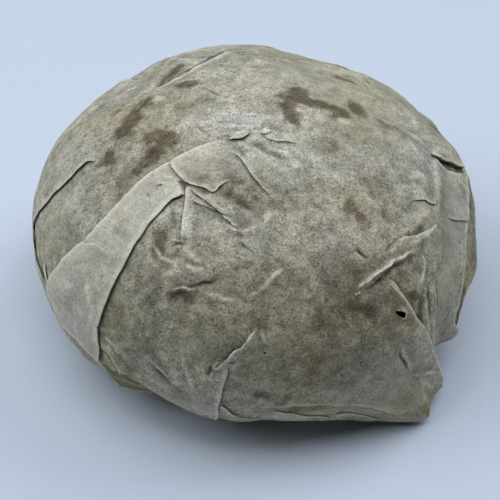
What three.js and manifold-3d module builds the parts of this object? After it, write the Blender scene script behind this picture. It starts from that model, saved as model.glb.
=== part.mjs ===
// A dome of pressed tea folded into one sheet of soft paper, with a hollow in its underside.
// Millimetres, +Z up, resting at z = 0. The front is the -Y side.
// A place on the dome is written [azimuth, along, lift]: the azimuth in degrees (0 = +X, 90 = +Y,
// 270 = front), the distance in mm measured over the paper from the crown, and the height of the
// paper above the plain dome in mm.
import * as THREE from 'three';
import { mergeVertices } from 'three/addons/utils/BufferGeometryUtils.js';
import Module from 'manifold-3d';

const wasm = await Module();
wasm.setup();

// ---- driving dimensions, mm ----
const widestRadius = 42;
const widestHeight = 19;
const crownHeight = 46;
const wallRadius = 40.7;        // radius where the wall ends and the heel turns in
const wallHeight = 9;
const footOuterRadius = 32;
const footInnerRadius = 23;
const lipRadius = 3;            // rounding of the foot into the hollow below
const hollowHeight = 20;
const tuftRadius = 6;           // gathered paper ends in the middle of the hollow
const tuftDrop = 5.5;
const tuftTwist = 50;           // degrees
const paperWall = 1.2;          // the folded layers of paper, taken as one wall
const teaGap = 0.3;
const crownLean = -1.2;         // the crown stands a little left of the middle
const sheetThickness = 1.1;     // a loose flap
const pleatCount = 18;          // pleats gathered under the foot
const pleatDepth = 0.5;
const tearLength = 2.6;
const tearWidth = 1.3;
const tearPlace = [307.8, 49];

// ---- mesh steps ----
const columnsPerPleat = 4;
const wrapperColumns = pleatCount * columnsPerPleat;
const innerColumns = 44;
const profileSteps = 400;
const outerStep = 4.6;          // spacing of the rings on the outside, mm
const innerStep = 6;
const heelRings = 4;
const hollowRings = 4;
const meshTolerance = 0.04;     // facets closer to flat than this are merged, mm

const rad = (degrees) => (degrees * Math.PI) / 180;
const mix = (a, b, k) => a + (b - a) * k;
const clamp01 = (k) => Math.min(1, Math.max(0, k));

function smooth(k) {
  const t = clamp01(k);
  return t * t * (3 - 2 * t);
}

// one smooth hump, 1 at the centre and 0 at the given distance from it
function hump(value, centre, reach) {
  return smooth(1 - Math.abs(value - centre) / reach);
}

// ---- profile of the paper's outside, from the crown round to the middle of the hollow ----
function bezier(p0, p1, p2, p3, t) {
  const u = 1 - t;
  return [0, 1].map((i) => (
    u * u * u * p0[i] + 3 * u * u * t * p1[i] + 3 * u * t * t * p2[i] + t * t * t * p3[i]));
}

function quarter(k) {
  return [Math.cos(rad(90 * k)), Math.sin(rad(90 * k))];
}

const spanCurves = {
  dome: (k) => {
    const [up, out] = quarter(k);
    return [widestRadius * out, mix(widestHeight, crownHeight, up)];
  },
  wall: (k) => [mix(widestRadius, wallRadius, k * k), mix(widestHeight, wallHeight, k)],
  heel: (k) => bezier(
    [wallRadius, wallHeight],
    [wallRadius - 0.4, wallHeight * 0.69],
    [footOuterRadius + 3.2, 0],
    [footOuterRadius, 0],
    k,
  ),
  foot: (k) => [mix(footOuterRadius, footInnerRadius, k), 0],
  lip: (k) => {
    const [up, out] = quarter(k);
    return [footInnerRadius - lipRadius * out, lipRadius * (1 - up)];
  },
  ceiling: (k) => {
    const rim = footInnerRadius - lipRadius;
    const [out, up] = quarter(k * 0.82);
    return [rim * out, mix(lipRadius, hollowHeight, up)];
  },
};

// every span is walked in small steps; each step keeps radius, height, distance and normal
function walkProfile() {
  const points = [];
  const ends = {};
  let distance = 0;
  for (const [name, curve] of Object.entries(spanCurves)) {
    for (let i = points.length ? 1 : 0; i <= profileSteps; i += 1) {
      const [r, z] = curve(i / profileSteps);
      const last = points[points.length - 1];
      distance += last ? Math.hypot(r - last.r, z - last.z) : 0;
      points.push({ r, z, distance });
    }
    ends[name] = distance;
  }
  points.forEach((point, i) => {
    const before = points[Math.max(0, i - 1)];
    const after = points[Math.min(points.length - 1, i + 1)];
    const length = Math.hypot(after.r - before.r, after.z - before.z);
    point.normal = [-(after.z - before.z) / length, (after.r - before.r) / length];
  });
  return { points, ends };
}

const profile = walkProfile();
const { dome: domeEnd, wall: wallEnd, heel: heelEnd, foot: footEnd, lip: lipEnd, ceiling: ceilingEnd } =
  profile.ends;

function profileAt(along) {
  const { points } = profile;
  let low = 0;
  let high = points.length - 1;
  while (high - low > 1) {
    const middle = (low + high) >> 1;
    if (points[middle].distance <= along) low = middle;
    else high = middle;
  }
  const k = clamp01((along - points[low].distance) / (points[high].distance - points[low].distance));
  return {
    r: mix(points[low].r, points[high].r, k),
    z: mix(points[low].z, points[high].z, k),
    normal: [0, 1].map((i) => mix(points[low].normal[i], points[high].normal[i], k)),
  };
}

// ---- how the pack departs from a true round ----
// flattened in a few places, cut in under the front left edge, slightly uneven all over
const flattenings = [
  { azimuth: 55, reach: 45, along: 30, span: 24, depth: 0.9 },
  { azimuth: 60, reach: 25, along: 27, span: 18, depth: 0.6 },
  { azimuth: 142, reach: 32, along: 31, span: 22, depth: 0.8 },
  { azimuth: 188, reach: 34, along: 50, span: 22, depth: 0.6 },
  { azimuth: 24, reach: 24, along: 38, span: 18, depth: 0.5 },
  { azimuth: 342, reach: 24, along: 50, span: 18, depth: 0.5 },
];
const undercut = { azimuth: 243, reach: 26, top: 14.5, depth: 3 };
const unevenness = 0.12;

function inwardPush(azimuth, along, height) {
  const flat = flattenings.reduce((sum, place) => sum + place.depth
    * hump(azimuth, place.azimuth, place.reach)
    * hump(along, place.along, place.span), 0);
  const turn = hump(azimuth, undercut.azimuth, undercut.reach);
  const below = along > domeEnd - 1 ? smooth((undercut.top - height) / (undercut.top * 0.6)) : 0;
  const underFoot = along > heelEnd ? 0.3 : 1;
  const waves = unevenness * smooth(along / 12) * smooth((wallEnd - along) / 14)
    * (Math.sin(rad(3 * azimuth + 220)) + Math.sin(rad(5 * azimuth + 180) + along / 7));
  return { flat: flat + waves, cut: undercut.depth * turn * below * underFoot };
}

// pleats gathered under the heel: flat lands with a rise and a step between them
function pleatRise(azimuth) {
  const turn = ((azimuth / 360) * pleatCount) % 1;
  return pleatDepth * clamp01((turn - 0.3) / 0.45);
}

function wrapPoint(azimuth, along, lift, pleated) {
  const turned = ((azimuth % 360) + 360) % 360;
  const { r, z, normal } = profileAt(along);
  const push = inwardPush(turned, along, z);
  const rise = pleated ? pleatRise(turned) * smooth((along - wallEnd) / 8) * smooth(r / 8) : 0;
  const out = lift - push.flat - rise;
  const radius = Math.max(0, r + normal[0] * out - push.cut);
  const angle = rad(azimuth);
  const lean = crownLean * clamp01((z - widestHeight) / (crownHeight - widestHeight));
  return new THREE.Vector3(
    radius * Math.cos(angle) + (along < wallEnd ? lean : 0),
    radius * Math.sin(angle),
    z + normal[1] * out,
  );
}

// a point given by azimuth, radius and height, for paper that stands off the dome
function freePoint([azimuth, radius, height]) {
  return new THREE.Vector3(
    radius * Math.cos(rad(azimuth)), radius * Math.sin(rad(azimuth)), height);
}

// the same three values for a place on the dome
function onDome(azimuth, along, lift) {
  const p = wrapPoint(azimuth, along, lift, false);
  return [(Math.atan2(p.y, p.x) * 180) / Math.PI + 360, Math.hypot(p.x, p.y), p.z];
}

const liftedPoint = ([azimuth, along, lift]) => wrapPoint(azimuth, along, lift, false);

// ---- solids ----
function solidFrom(vertices, triangles) {
  const geometry = new THREE.BufferGeometry();
  geometry.setAttribute('position', new THREE.Float32BufferAttribute(vertices.flatMap(
    (v) => [v.x, v.y, v.z]), 3));
  geometry.setIndex(triangles.flat());
  const merged = mergeVertices(geometry, 1e-5);
  return new wasm.Manifold(new wasm.Mesh({
    numProp: 3,
    vertProperties: new Float32Array(merged.attributes.position.array),
    triVerts: new Uint32Array(merged.index.array),
  }));
}

// rings[0] and the last ring are single points on the axis
function turnedSolid(rings, inwards) {
  const vertices = rings.flat();
  const triangles = [];
  const starts = [];
  rings.reduce((start, ring) => {
    starts.push(start);
    return start + ring.length;
  }, 0);
  const face = (a, b, c) => triangles.push(inwards ? [a, c, b] : [a, b, c]);
  for (let i = 0; i + 1 < rings.length; i += 1) {
    const count = Math.max(rings[i].length, rings[i + 1].length);
    for (let j = 0; j < count; j += 1) {
      const next = (j + 1) % count;
      const a = starts[i] + (rings[i].length === 1 ? 0 : j);
      const b = starts[i] + (rings[i].length === 1 ? 0 : next);
      const c = starts[i + 1] + (rings[i + 1].length === 1 ? 0 : j);
      const d = starts[i + 1] + (rings[i + 1].length === 1 ? 0 : next);
      if (rings[i].length === 1) face(a, c, d);
      else if (rings[i + 1].length === 1) face(a, c, b);
      else if ((i + j) % 2) {
        face(a, c, d);
        face(a, d, b);
      } else {
        face(a, c, b);
        face(b, c, d);
      }
    }
  }
  return solidFrom(vertices, triangles);
}

function evenSteps(from, to, count) {
  return Array.from({ length: count }, (_, i) => mix(from, to, (i + 1) / count));
}

function ringStations(step, bends) {
  return [
    ...evenSteps(0, domeEnd, Math.round(domeEnd / step)),
    ...evenSteps(domeEnd, wallEnd, Math.round((wallEnd - domeEnd) / step)),
    ...evenSteps(wallEnd, heelEnd, bends),
    ...evenSteps(heelEnd, footEnd, 2),
    ...evenSteps(footEnd, lipEnd, Math.ceil(bends / 2)),
    ...evenSteps(lipEnd, ceilingEnd, bends),
  ];
}

// the pack as a body of revolution, moved in by `offset` and made uneven as above
function turnedPack(offset, columns, step, bends, pleated, roughness = () => 0) {
  const rings = [[wrapPoint(0, 0, -offset, false)]];
  for (const along of ringStations(step, bends)) {
    rings.push(Array.from({ length: columns }, (_, j) => {
      const azimuth = (360 * j) / columns;
      return wrapPoint(azimuth, along, roughness(azimuth, along) - offset, pleated);
    }));
  }
  if (pleated) {
    const height = hollowHeight - tuftDrop;
    for (const [share, drop] of [[1, 0.35], [0.85, 1]]) {
      rings.push(Array.from({ length: columns }, (_, j) => {
        const azimuth = (360 * j) / columns;
        const radius = tuftRadius * share * (1 + pleatRise(azimuth) / 3);
        return freePoint([azimuth + tuftTwist * drop, radius, mix(hollowHeight, height, drop)]);
      }));
    }
    rings.push([new THREE.Vector3(0, 0, height + 0.6)]);
  } else {
    const { z } = profileAt(ceilingEnd);
    rings.push([new THREE.Vector3(0, 0, z + offset + 0.4)]);
  }
  return turnedSolid(rings, false);
}

// a polyline of control values resampled to `count` even places
function resample(path, count) {
  const lengths = [0];
  for (let i = 1; i < path.length; i += 1) {
    const radius = profileAt(path[i][1]).r;
    const across = rad(path[i][0] - path[i - 1][0]) * radius;
    lengths.push(lengths[i - 1] + Math.hypot(across, path[i][1] - path[i - 1][1]) + 1e-6);
  }
  const total = lengths[lengths.length - 1];
  return Array.from({ length: count }, (_, i) => {
    const wanted = (total * i) / (count - 1);
    let at = 1;
    while (at < path.length - 1 && lengths[at] < wanted) at += 1;
    const k = clamp01((wanted - lengths[at - 1]) / (lengths[at] - lengths[at - 1]));
    return path[at].map((value, axis) => mix(path[at - 1][axis], value, k));
  });
}

// A sheet of paper: `rows` are control lines that run the same way, laid side by side.
function sheet(rows, { place = liftedPoint, along = 10, across = 2, thickness = sheetThickness } = {}) {
  const lines = rows.map((row) => resample(row, along));
  const grid = [];
  for (let i = 0; i + 1 < lines.length; i += 1) {
    for (let k = 0; k < across; k += 1) {
      grid.push(lines[i].map((value, j) => value.map(
        (v, axis) => mix(v, lines[i + 1][j][axis], k / across))));
    }
  }
  grid.push(lines[lines.length - 1]);
  const top = grid.map((line) => line.map(place));
  const bottom = top.map((line, i) => line.map((point, j) => {
    const over = top[Math.min(i + 1, top.length - 1)][j].clone().sub(top[Math.max(i - 1, 0)][j]);
    const on = line[Math.min(j + 1, line.length - 1)].clone().sub(line[Math.max(j - 1, 0)]);
    const normal = over.cross(on).normalize();
    const away = new THREE.Vector3(point.x, point.y, point.z - widestHeight * 0.6);
    if (normal.dot(away) < 0) normal.negate();
    return point.clone().addScaledVector(normal, -thickness);
  }));
  const count = along;
  const vertices = [...top.flat(), ...bottom.flat()];
  const below = top.length * count;
  const triangles = [];
  const quad = (a, b, c, d) => triangles.push([a, b, c], [a, c, d]);
  for (let i = 0; i + 1 < top.length; i += 1) {
    for (let j = 0; j + 1 < count; j += 1) {
      const a = i * count + j;
      quad(a, a + 1, a + count + 1, a + count);
      quad(below + a, below + a + count, below + a + count + 1, below + a + 1);
    }
  }
  for (let j = 0; j + 1 < count; j += 1) {
    const last = (top.length - 1) * count + j;
    quad(j + 1, j, below + j, below + j + 1);
    quad(last, last + 1, below + last + 1, below + last);
  }
  for (let i = 0; i + 1 < top.length; i += 1) {
    const left = i * count;
    const right = left + count - 1;
    quad(left, left + count, below + left + count, below + left);
    quad(right + count, right, below + right, below + right + count);
  }
  const solid = solidFrom(vertices, triangles);
  return solid.volume() < 0 ? solidFrom(vertices, triangles.map(([a, b, c]) => [a, c, b])) : solid;
}

// A crease that stands up from the paper: `path` holds [azimuth, along], the crest is in the middle.
function ridge(path, { height = 0.5, halfWidth = 1.1, base = -0.25 } = {}) {
  const side = (sign) => path.map(([azimuth, along], i) => {
    const from = path[Math.max(0, i - 1)];
    const to = path[Math.min(path.length - 1, i + 1)];
    const radius = profileAt(along).r;
    const across = rad(to[0] - from[0]) * radius;
    const down = to[1] - from[1];
    const length = Math.hypot(across, down);
    const end = i === 0 || i === path.length - 1 ? 0.35 : 1;
    const shift = (sign * halfWidth * end) / length;
    return [azimuth - ((down * shift) / radius) * (180 / Math.PI), along + across * shift, base];
  });
  const crest = path.map(([azimuth, along], i) => [
    azimuth, along, i === 0 || i === path.length - 1 ? height * 0.3 : height]);
  return sheet([side(1), crest, side(-1)], { along: path.length * 2, across: 1, thickness: 0.5 });
}

// ---- the folds seen from the front ----
const buried = -0.1;

// the folded margin of the front sheet, a flat band that runs from the crown to the left rim
const leftBand = sheet([
  [[254, 10.5, 0.5], [247, 11.2, 0.8], [226.5, 19.5, 0.9], [219, 38.5, 0.9], [214, 46, 0.9],
    [210.5, 52, 0.9], [213.5, 58, 0.9]],
  [[258, 11.5, 0.4], [252, 14, 0.6], [235, 22, 1.0], [227, 38, 1.0], [223, 46, 1.0],
    [221, 52, 1.0], [221.5, 58.2, 0.9]],
  [[262, 12.5, buried], [254, 17, buried], [240, 23.3, 0.8], [234.3, 39, 0.8], [233.4, 48, 0.8],
    [230, 55, 0.8], [229.5, 60, 0.8]],
], { along: 14 });

// the upper left sheet lies over the left one
const leftShoulder = sheet([
  [[172, 31, buried], [170, 40, buried], [170, 50, buried], [174, 57, buried]],
  [[184, 29, buried], [184, 40, 0.35], [184, 50, 0.3], [187, 58, 0.1]],
  [[194, 28, buried], [195.5, 37, 0.7], [195, 48, 0.7], [202, 58, 0.5]],
], { along: 9 });

// the left part of the front laps over the right part, its lower edge drawn up on the left
const frontLap = sheet([
  [[234.5, 41, buried], [234.3, 50, buried], [231, 56, 0.3], [229.5, 60, 0.5]],
  [[244, 42, buried], [242, 50, 0.1], [239, 56, 0.6], [239.5, 60.3, 0.9]],
  [[254, 44, buried], [252, 50, 0.3], [250, 58, 0.7], [249.5, 63.4, 0.9]],
  [[268, 46, buried], [263.6, 50.5, 0.8], [261.6, 58.7, 0.8], [261, 66.5, 0.9]],
], { along: 8, across: 3 });

// an older under-layer of the same sheet that peeps out below the front edge on the left
const underFlap = sheet([
  [[227, 40.2, 12.5], [235, 40.2, 12.5], [245, 40.2, 12.5]],
  [[225.5, 40.3, 9.6], [233, 41, 6.6], [243.5, 39.4, 9.2]],
], { place: freePoint, along: 7 });

// the turned hem along the front, which flares away from the dome towards the right corner
const frontHem = sheet([
  [[262, 58, buried], [272, 57.5, buried], [281, 57, buried], [290, 57, buried]].map(
    (value) => onDome(...value)),
  [onDome(261.5, 61.5, 0.5), onDome(272, 61, 0.7), onDome(281, 61.3, 0.9), onDome(289, 62, 1.2)],
  [onDome(261, 65.3, 0.7), onDome(272, 65.4, 0.9), [281, 40.8, 6.9], [288.4, 40.6, 5.0]],
], { place: freePoint, along: 9 });

// the corner of the sheet stands off as an ear, from its ridge round to the hem
const cornerEar = sheet([
  [onDome(305.5, 41, buried), onDome(306, 41.2, 0.1), onDome(306.6, 41.4, 0.2), onDome(307, 41.6, 0.1)],
  [onDome(301, 47, buried), onDome(304.5, 48, 0.3), onDome(307.8, 49, 0.6), onDome(310.8, 49.5, 0.8)],
  [onDome(292, 56, buried), onDome(300, 57.2, 0.7), onDome(308, 58, 1.5), onDome(315.6, 58, 1.4)],
  [onDome(288.4, 62, 0.9), [297, 42.8, 9.2], [307.5, 44.8, 8.2], [318.2, 43.6, 9.4]],
  [[288, 40.6, 5.0], [295.3, 41.0, 4.4], [302.5, 43.6, 2.2], [308.6, 47, 2.6], [313.8, 46.2, 4.4],
    [320.6, 44.6, 4.6]],
], { place: freePoint, along: 13, across: 3, thickness: 0.9 });

// the back of the ear folds in under the ridge to the right side of the pack
const earBack = sheet([
  [onDome(310.8, 48, 0.5), onDome(315.6, 56.5, 1.0), [318.6, 43.2, 9.4], [320.6, 44.2, 5.4]],
  [onDome(313.5, 48, 0.1), onDome(319.5, 56, 0.3), [322, 41, 9.6], [323, 41.5, 7.2]],
  [onDome(317, 48, buried), onDome(325, 56, buried), onDome(327, 60, buried), onDome(328, 63, buried)],
], { place: freePoint, along: 7 });

// the right side: a sheet edge that runs upright, and a strip of the layer beyond it
const rightStrip = sheet([
  [[351, 38, buried], [340, 38, buried], [330, 42, buried], [322, 48, buried]],
  [[356, 45.5, 0.5], [345, 44, 0.8], [333, 46, 0.8], [325.5, 54, 0.5]],
  [[358.5, 47, 0.7], [347, 45.5, 0.9], [336, 47.5, 0.9], [328.5, 57, 0.8]],
], { along: 9, across: 1 });

const rightShoulder = sheet([
  [[12, 30, buried], [9, 38, buried], [8, 46, buried]],
  [[0, 27, 0.1], [0, 36, 0.5], [3, 44, 0.6]],
  [[351, 23, buried], [351, 29, 0.6], [352.5, 36, 0.8], [359, 43, 0.9]],
], { along: 7 });

const sideCorner = sheet([
  [[6, 42, buried], [1, 46, buried], [357, 50, buried]],
  [[4, 42.5, 1.2], [0, 47, 1.0], [356, 52, 0.7]],
], { along: 5 });

const sideStrip = sheet([
  [[358, 47, buried], [346, 48.5, buried], [336, 52, buried], [330, 57, buried]],
  [[357, 54, 0.5], [346, 56, 0.7], [336, 60, 0.8], [329.5, 64, 0.7]],
], { along: 8 });

const topFold = sheet([
  [[99, 30, buried], [115, 31, buried], [135, 29, buried], [150, 27, buried]],
  [[98, 22.8, 0.3], [115, 21.5, 0.55], [135, 20, 0.55], [151, 19.5, 0.35]],
], { along: 8 });

// ---- the folds behind, made in the same way ----
const backBand = sheet([
  [[62, 36, buried], [52, 42, 0.8], [45, 50, 0.9], [42, 60, 0.8]],
  [[68, 36, buried], [59, 42, 0.9], [53, 50, 1.0], [50, 61, 0.8]],
  [[74, 37, buried], [66, 43, 0.7], [61, 51, 0.8], [58, 61.5, 0.8]],
], { along: 9 });

const backLap = sheet([
  [[78, 42, buried], [78, 52, 0.2], [78, 63, 0.5]],
  [[90, 40, buried], [90, 52, 0.4], [91, 64, 0.7]],
  [[103, 38, buried], [104, 52, 0.7], [106, 64.5, 0.8]],
], { along: 7 });

const backShoulder = sheet([
  [[160, 40, buried], [159, 50, buried], [158, 60, buried]],
  [[148, 38, 0.1], [147, 50, 0.4], [146, 61, 0.5]],
  [[137, 37, buried], [135, 50, 0.7], [133, 62, 0.8]],
], { along: 7 });

const creases = [
  { path: [[226.5, 19.3], [233, 21.2], [240, 23.2]], height: 1.2, base: 0.3 },
  { path: [[240, 22.8], [242.5, 25.5], [247.5, 29.5]], height: 0.6 },
  { path: [[241.5, 22], [251, 23.3], [256, 20], [263, 19]], height: 0.6 },
  { path: [[242.5, 23], [254.5, 24.2], [262.5, 27.5], [268.5, 28], [274.5, 26]], height: 0.45 },
  { path: [[261, 13.5], [270.5, 16.8], [276, 20], [281, 23]], height: 0.45 },
  { path: [[254.5, 10.2], [262, 8.6], [270, 8.7], [281, 7.4]], height: 0.8, halfWidth: 1.4 },
  { path: [[291, 9.4], [303, 12.2], [313, 13.4]], height: 0.4 },
  { path: [[319, 38.5], [310.5, 38.8], [300.5, 40.3], [296, 41.5]], height: 0.7 },
  { path: [[331, 39.5], [323, 38.3], [316, 36.8]], height: 0.55 },
  { path: [[319, 40.5], [317.5, 45], [317.5, 53], [319, 60]], height: 0.6 },
  { path: [[270.5, 44.3], [267, 47.2], [263.4, 50]], height: 0.9, base: 0.1 },
  { path: [[256, 48.5], [254, 54], [254.5, 60]], height: 0.9, base: 0.2 },
  { path: [[238, 33], [247, 35.5], [256, 35]], height: 0.35 },
  { path: [[120, 42], [117, 50], [118, 60]], height: 0.5 },
  { path: [[20, 40], [22, 50], [19, 60]], height: 0.5 },
].map(({ path, ...options }) => ridge(path, options));

// ---- the tear in the corner of the sheet ----
function tearCut() {
  const [azimuth, along] = tearPlace;
  const centre = wrapPoint(azimuth, along, 0, false);
  const out = wrapPoint(azimuth, along, 1, false).sub(centre).normalize();
  const down = wrapPoint(azimuth, along + 1, 0, false).sub(wrapPoint(azimuth, along - 1, 0, false)).normalize();
  const across = down.clone().cross(out).normalize();
  const sides = 7;
  const ring = (lift) => Array.from({ length: sides }, (_, i) => {
    const angle = rad((360 * i) / sides);
    const uneven = 1 + 0.18 * Math.sin(2.7 * i);
    const x = (tearWidth / 2) * Math.cos(angle) * uneven;
    const y = (tearLength / 2) * Math.sin(angle) * uneven;
    const slant = x + y * 0.55;
    return centre.clone().addScaledVector(out, lift).addScaledVector(across, slant)
      .addScaledVector(down, y);
  });
  const point = (lift) => [centre.clone().addScaledVector(out, lift)];
  const solid = turnedSolid([point(5), ring(5), ring(-2), point(-2)], false);
  return solid.volume() < 0 ? turnedSolid([point(5), ring(5), ring(-2), point(-2)], true) : solid;
}

// ---- the two pieces ----
// small spaces that the folds close off are filled: only the outermost closed surface is kept
function largestBody(solid) {
  return solid.decompose().reduce((most, body) => (body.volume() > most.volume() ? body : most));
}

const plainWrap = turnedPack(0, wrapperColumns, outerStep, heelRings, true);
const cavity = turnedPack(paperWall, innerColumns, innerStep, hollowRings, false);
const sheets = [
  leftBand, leftShoulder, frontLap, underFlap, frontHem, cornerEar, earBack, rightStrip,
  rightShoulder, sideCorner, sideStrip, topFold, backBand, backLap, backShoulder, ...creases,
];
const folded = largestBody(sheets.reduce((body, part) => body.add(part), plainWrap));
const wrapperSolid = largestBody(folded.subtract(cavity).subtract(tearCut())).simplify(meshTolerance);

// pressed leaves leave the cake knobbly, only ever inwards so that it clears the paper
function leafRelief(azimuth, along) {
  return -0.35 + 0.35 * Math.sin(rad(azimuth * 9 + along * 23)) * Math.cos(rad(azimuth * 5 - along * 31));
}

const teaSolid = turnedPack(paperWall + teaGap, innerColumns, innerStep, hollowRings, false, leafRelief);

function meshOf(solid, name, colour, roughness) {
  const { numProp, vertProperties, triVerts } = solid.getMesh();
  const positions = [];
  for (let i = 0; i < vertProperties.length; i += numProp) {
    positions.push(vertProperties[i], vertProperties[i + 1], vertProperties[i + 2]);
  }
  const geometry = new THREE.BufferGeometry();
  geometry.setAttribute('position', new THREE.Float32BufferAttribute(positions, 3));
  geometry.setIndex(Array.from(triVerts));
  geometry.computeVertexNormals();
  const material = new THREE.MeshStandardMaterial({ color: colour, roughness, metalness: 0 });
  const mesh = new THREE.Mesh(geometry, material);
  mesh.name = name;
  return mesh;
}

const pack = new THREE.Group();
pack.name = 'wrapped_tea_nest';
pack.add(meshOf(wrapperSolid, 'wrapper', 0xa3a294, 0.85));
pack.add(meshOf(teaSolid, 'tea', 0x33261a, 0.9));

export default pack;
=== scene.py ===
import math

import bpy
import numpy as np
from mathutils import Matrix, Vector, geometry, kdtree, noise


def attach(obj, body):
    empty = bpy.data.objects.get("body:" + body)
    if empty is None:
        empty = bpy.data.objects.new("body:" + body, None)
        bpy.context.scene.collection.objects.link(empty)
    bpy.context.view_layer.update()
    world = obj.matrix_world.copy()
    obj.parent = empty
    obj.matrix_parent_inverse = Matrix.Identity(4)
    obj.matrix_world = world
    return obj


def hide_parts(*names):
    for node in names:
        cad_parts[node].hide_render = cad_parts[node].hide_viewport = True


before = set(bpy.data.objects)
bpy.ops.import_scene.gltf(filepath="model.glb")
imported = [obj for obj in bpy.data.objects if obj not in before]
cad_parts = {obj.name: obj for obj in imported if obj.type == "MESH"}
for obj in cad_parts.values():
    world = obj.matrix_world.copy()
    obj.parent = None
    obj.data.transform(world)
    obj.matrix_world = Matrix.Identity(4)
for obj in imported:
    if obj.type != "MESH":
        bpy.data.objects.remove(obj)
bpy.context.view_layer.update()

# A dome of pressed tea folded into one sheet of soft grey paper, dressed for a studio picture.
# Shapes are worked out in millimetres and scaled to metres when a mesh is made.
# A place on the dome is (azimuth, along): degrees round the axis (0 = +X, 270 = front) and
# millimetres over the paper from the crown. What the photograph shows is placed by its pixels,
# which seenOnDome() turns into places on the dome.

millimetre = 0.001
rng = np.random.default_rng(7)
seedStep = np.array([3.7, 1.9, 5.3])      # how far apart the noises of two seeds lie, in bumps


def mix(a, b, k):
    return a + (b - a) * k


def clamp01(k):
    return np.clip(k, 0.0, 1.0)


def smooth(k):
    t = clamp01(k)
    return t * t * (3 - 2 * t)


def hump(value, centre, reach):
    return smooth(1 - np.abs(value - centre) / reach)


def unit(vectors):
    return vectors / np.maximum(np.linalg.norm(vectors, axis=-1, keepdims=True), 1e-9)


def twice(values):
    # for the outside and the inside of a sheet
    return np.concatenate([values, values])


def linear(hexColour):
    channels = [int(hexColour[i:i + 2], 16) / 255 for i in (1, 3, 5)]
    return [c / 12.92 if c <= 0.04045 else ((c + 0.055) / 1.055) ** 2.4 for c in channels] + [1.0]


def noiseAt(points, size, seed=0.0):
    # perlin noise with bumps about `size` mm apart, -1 to 1
    shifted = points / size + seed * seedStep
    return np.array([noise.noise(Vector(p)) for p in shifted])


def noises(points, size, seeds):
    return np.stack([noiseAt(points, size, seed) for seed in seeds], axis=1)


def outwardAt(azimuth):
    angle = np.radians(azimuth)
    return np.stack([np.cos(angle), np.sin(angle), 0 * angle], axis=-1)


def lengthsAlong(points):
    # how far along its line each point lies
    return np.concatenate([[0], np.cumsum(np.linalg.norm(np.diff(points, axis=0), axis=1))])


def resampled(points, count):
    places = lengthsAlong(points)
    wanted = np.linspace(0, places[-1], count)
    return np.stack([np.interp(wanted, places, column) for column in points.T], axis=1)


# the dome, as the solid has it

dome = {
    "widestRadius": 42.0, "widestHeight": 19.0, "crownHeight": 46.0,
    "wallRadius": 40.7, "wallHeight": 9.0,
    "footOuterRadius": 32.0, "footInnerRadius": 23.0, "lipRadius": 3.0, "hollowHeight": 20.0,
    "heelIn": 0.4, "heelOut": 3.2, "heelDown": 0.69,       # the handles of the heel's curve
    "ceilingTurn": 0.82,                                   # share of a quarter turn
    "crownLean": -1.2, "hemLength": 14.0,
    # mm that the round shape swells and sinks, and the mm over which that begins and ends
    "unevenness": 0.12, "wavesBegin": 12, "wavesEnd": 14,
    "threeWavesAt": 220, "fiveWavesAt": 180, "waveSlant": 7,
    # azimuth, reach, along, span, depth of each flattened place
    "flattened": [(55, 45, 30, 24, 0.9), (60, 25, 27, 18, 0.6), (142, 32, 31, 22, 0.8),
                  (188, 34, 50, 22, 0.6), (24, 24, 38, 18, 0.5), (342, 24, 50, 18, 0.5)],
    # the heel is hollower at the front left
    "undercutAt": 243, "undercutReach": 26, "undercutTop": 14.5, "undercutDepth": 3.0,
    "undercutFade": 0.6, "undercutPastHeel": 0.3,
}
profileSteps = 401
hemSteps = 60


def profileSpans():
    # radius and height of each span, from the crown down and round into the hollow
    k = np.linspace(0, 1, profileSteps)
    up, out = np.cos(k * np.pi / 2), np.sin(k * np.pi / 2)
    r, h = dome["wallRadius"], dome["wallHeight"]
    foot, inner, lip = dome["footOuterRadius"], dome["footInnerRadius"], dome["lipRadius"]
    handles = ((r, r - dome["heelIn"], foot + dome["heelOut"], foot), (h, h * dome["heelDown"], 0, 0))
    u = 1 - k
    bezier = [u ** 3 * a + 3 * u * u * k * b + 3 * u * k * k * c + k ** 3 * d for a, b, c, d in handles]
    turn = k * dome["ceilingTurn"] * np.pi / 2
    return {
        "dome": (dome["widestRadius"] * out, mix(dome["widestHeight"], dome["crownHeight"], up)),
        "wall": (mix(dome["widestRadius"], r, k * k), mix(dome["widestHeight"], h, k)),
        "heel": bezier,
        "foot": (mix(foot, inner, k), 0 * k),
        "lip": (inner - lip * out, lip * (1 - up)),
        "ceiling": ((inner - lip) * np.cos(turn), mix(lip, dome["hollowHeight"], np.sin(turn))),
    }


def walkProfile(names, straightOn=0.0):
    spans = profileSpans()
    r, z = [np.concatenate([spans[name][side][(i > 0):] for i, name in enumerate(names)]) for side in (0, 1)]
    if straightOn:   # a hem that hangs straight down past the wall
        slope = unit(np.array([r[-1] - r[-2], z[-1] - z[-2]]))
        steps = np.linspace(0, straightOn, hemSteps)[1:]
        r = np.concatenate([r, r[-1] + slope[0] * steps])
        z = np.concatenate([z, z[-1] + slope[1] * steps])
    along = np.concatenate([[0], np.cumsum(np.hypot(np.diff(r), np.diff(z)))])
    normal = unit(np.stack([-np.gradient(z), np.gradient(r)], axis=1))
    return {"along": along, "r": r, "z": z, "nr": normal[:, 0], "nz": normal[:, 1]}


hangingProfile = walkProfile(["dome", "wall"], dome["hemLength"])
closedProfile = walkProfile(["dome", "wall", "heel", "foot", "lip", "ceiling"])
stops = np.cumsum([np.hypot(np.diff(r), np.diff(z)).sum() for r, z in profileSpans().values()])
domeEnd, wallEnd, heelEnd, footEnd, _, ceilingEnd = stops


def radiusAt(along, profile=hangingProfile):
    return np.interp(along, profile["along"], profile["r"])


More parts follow.
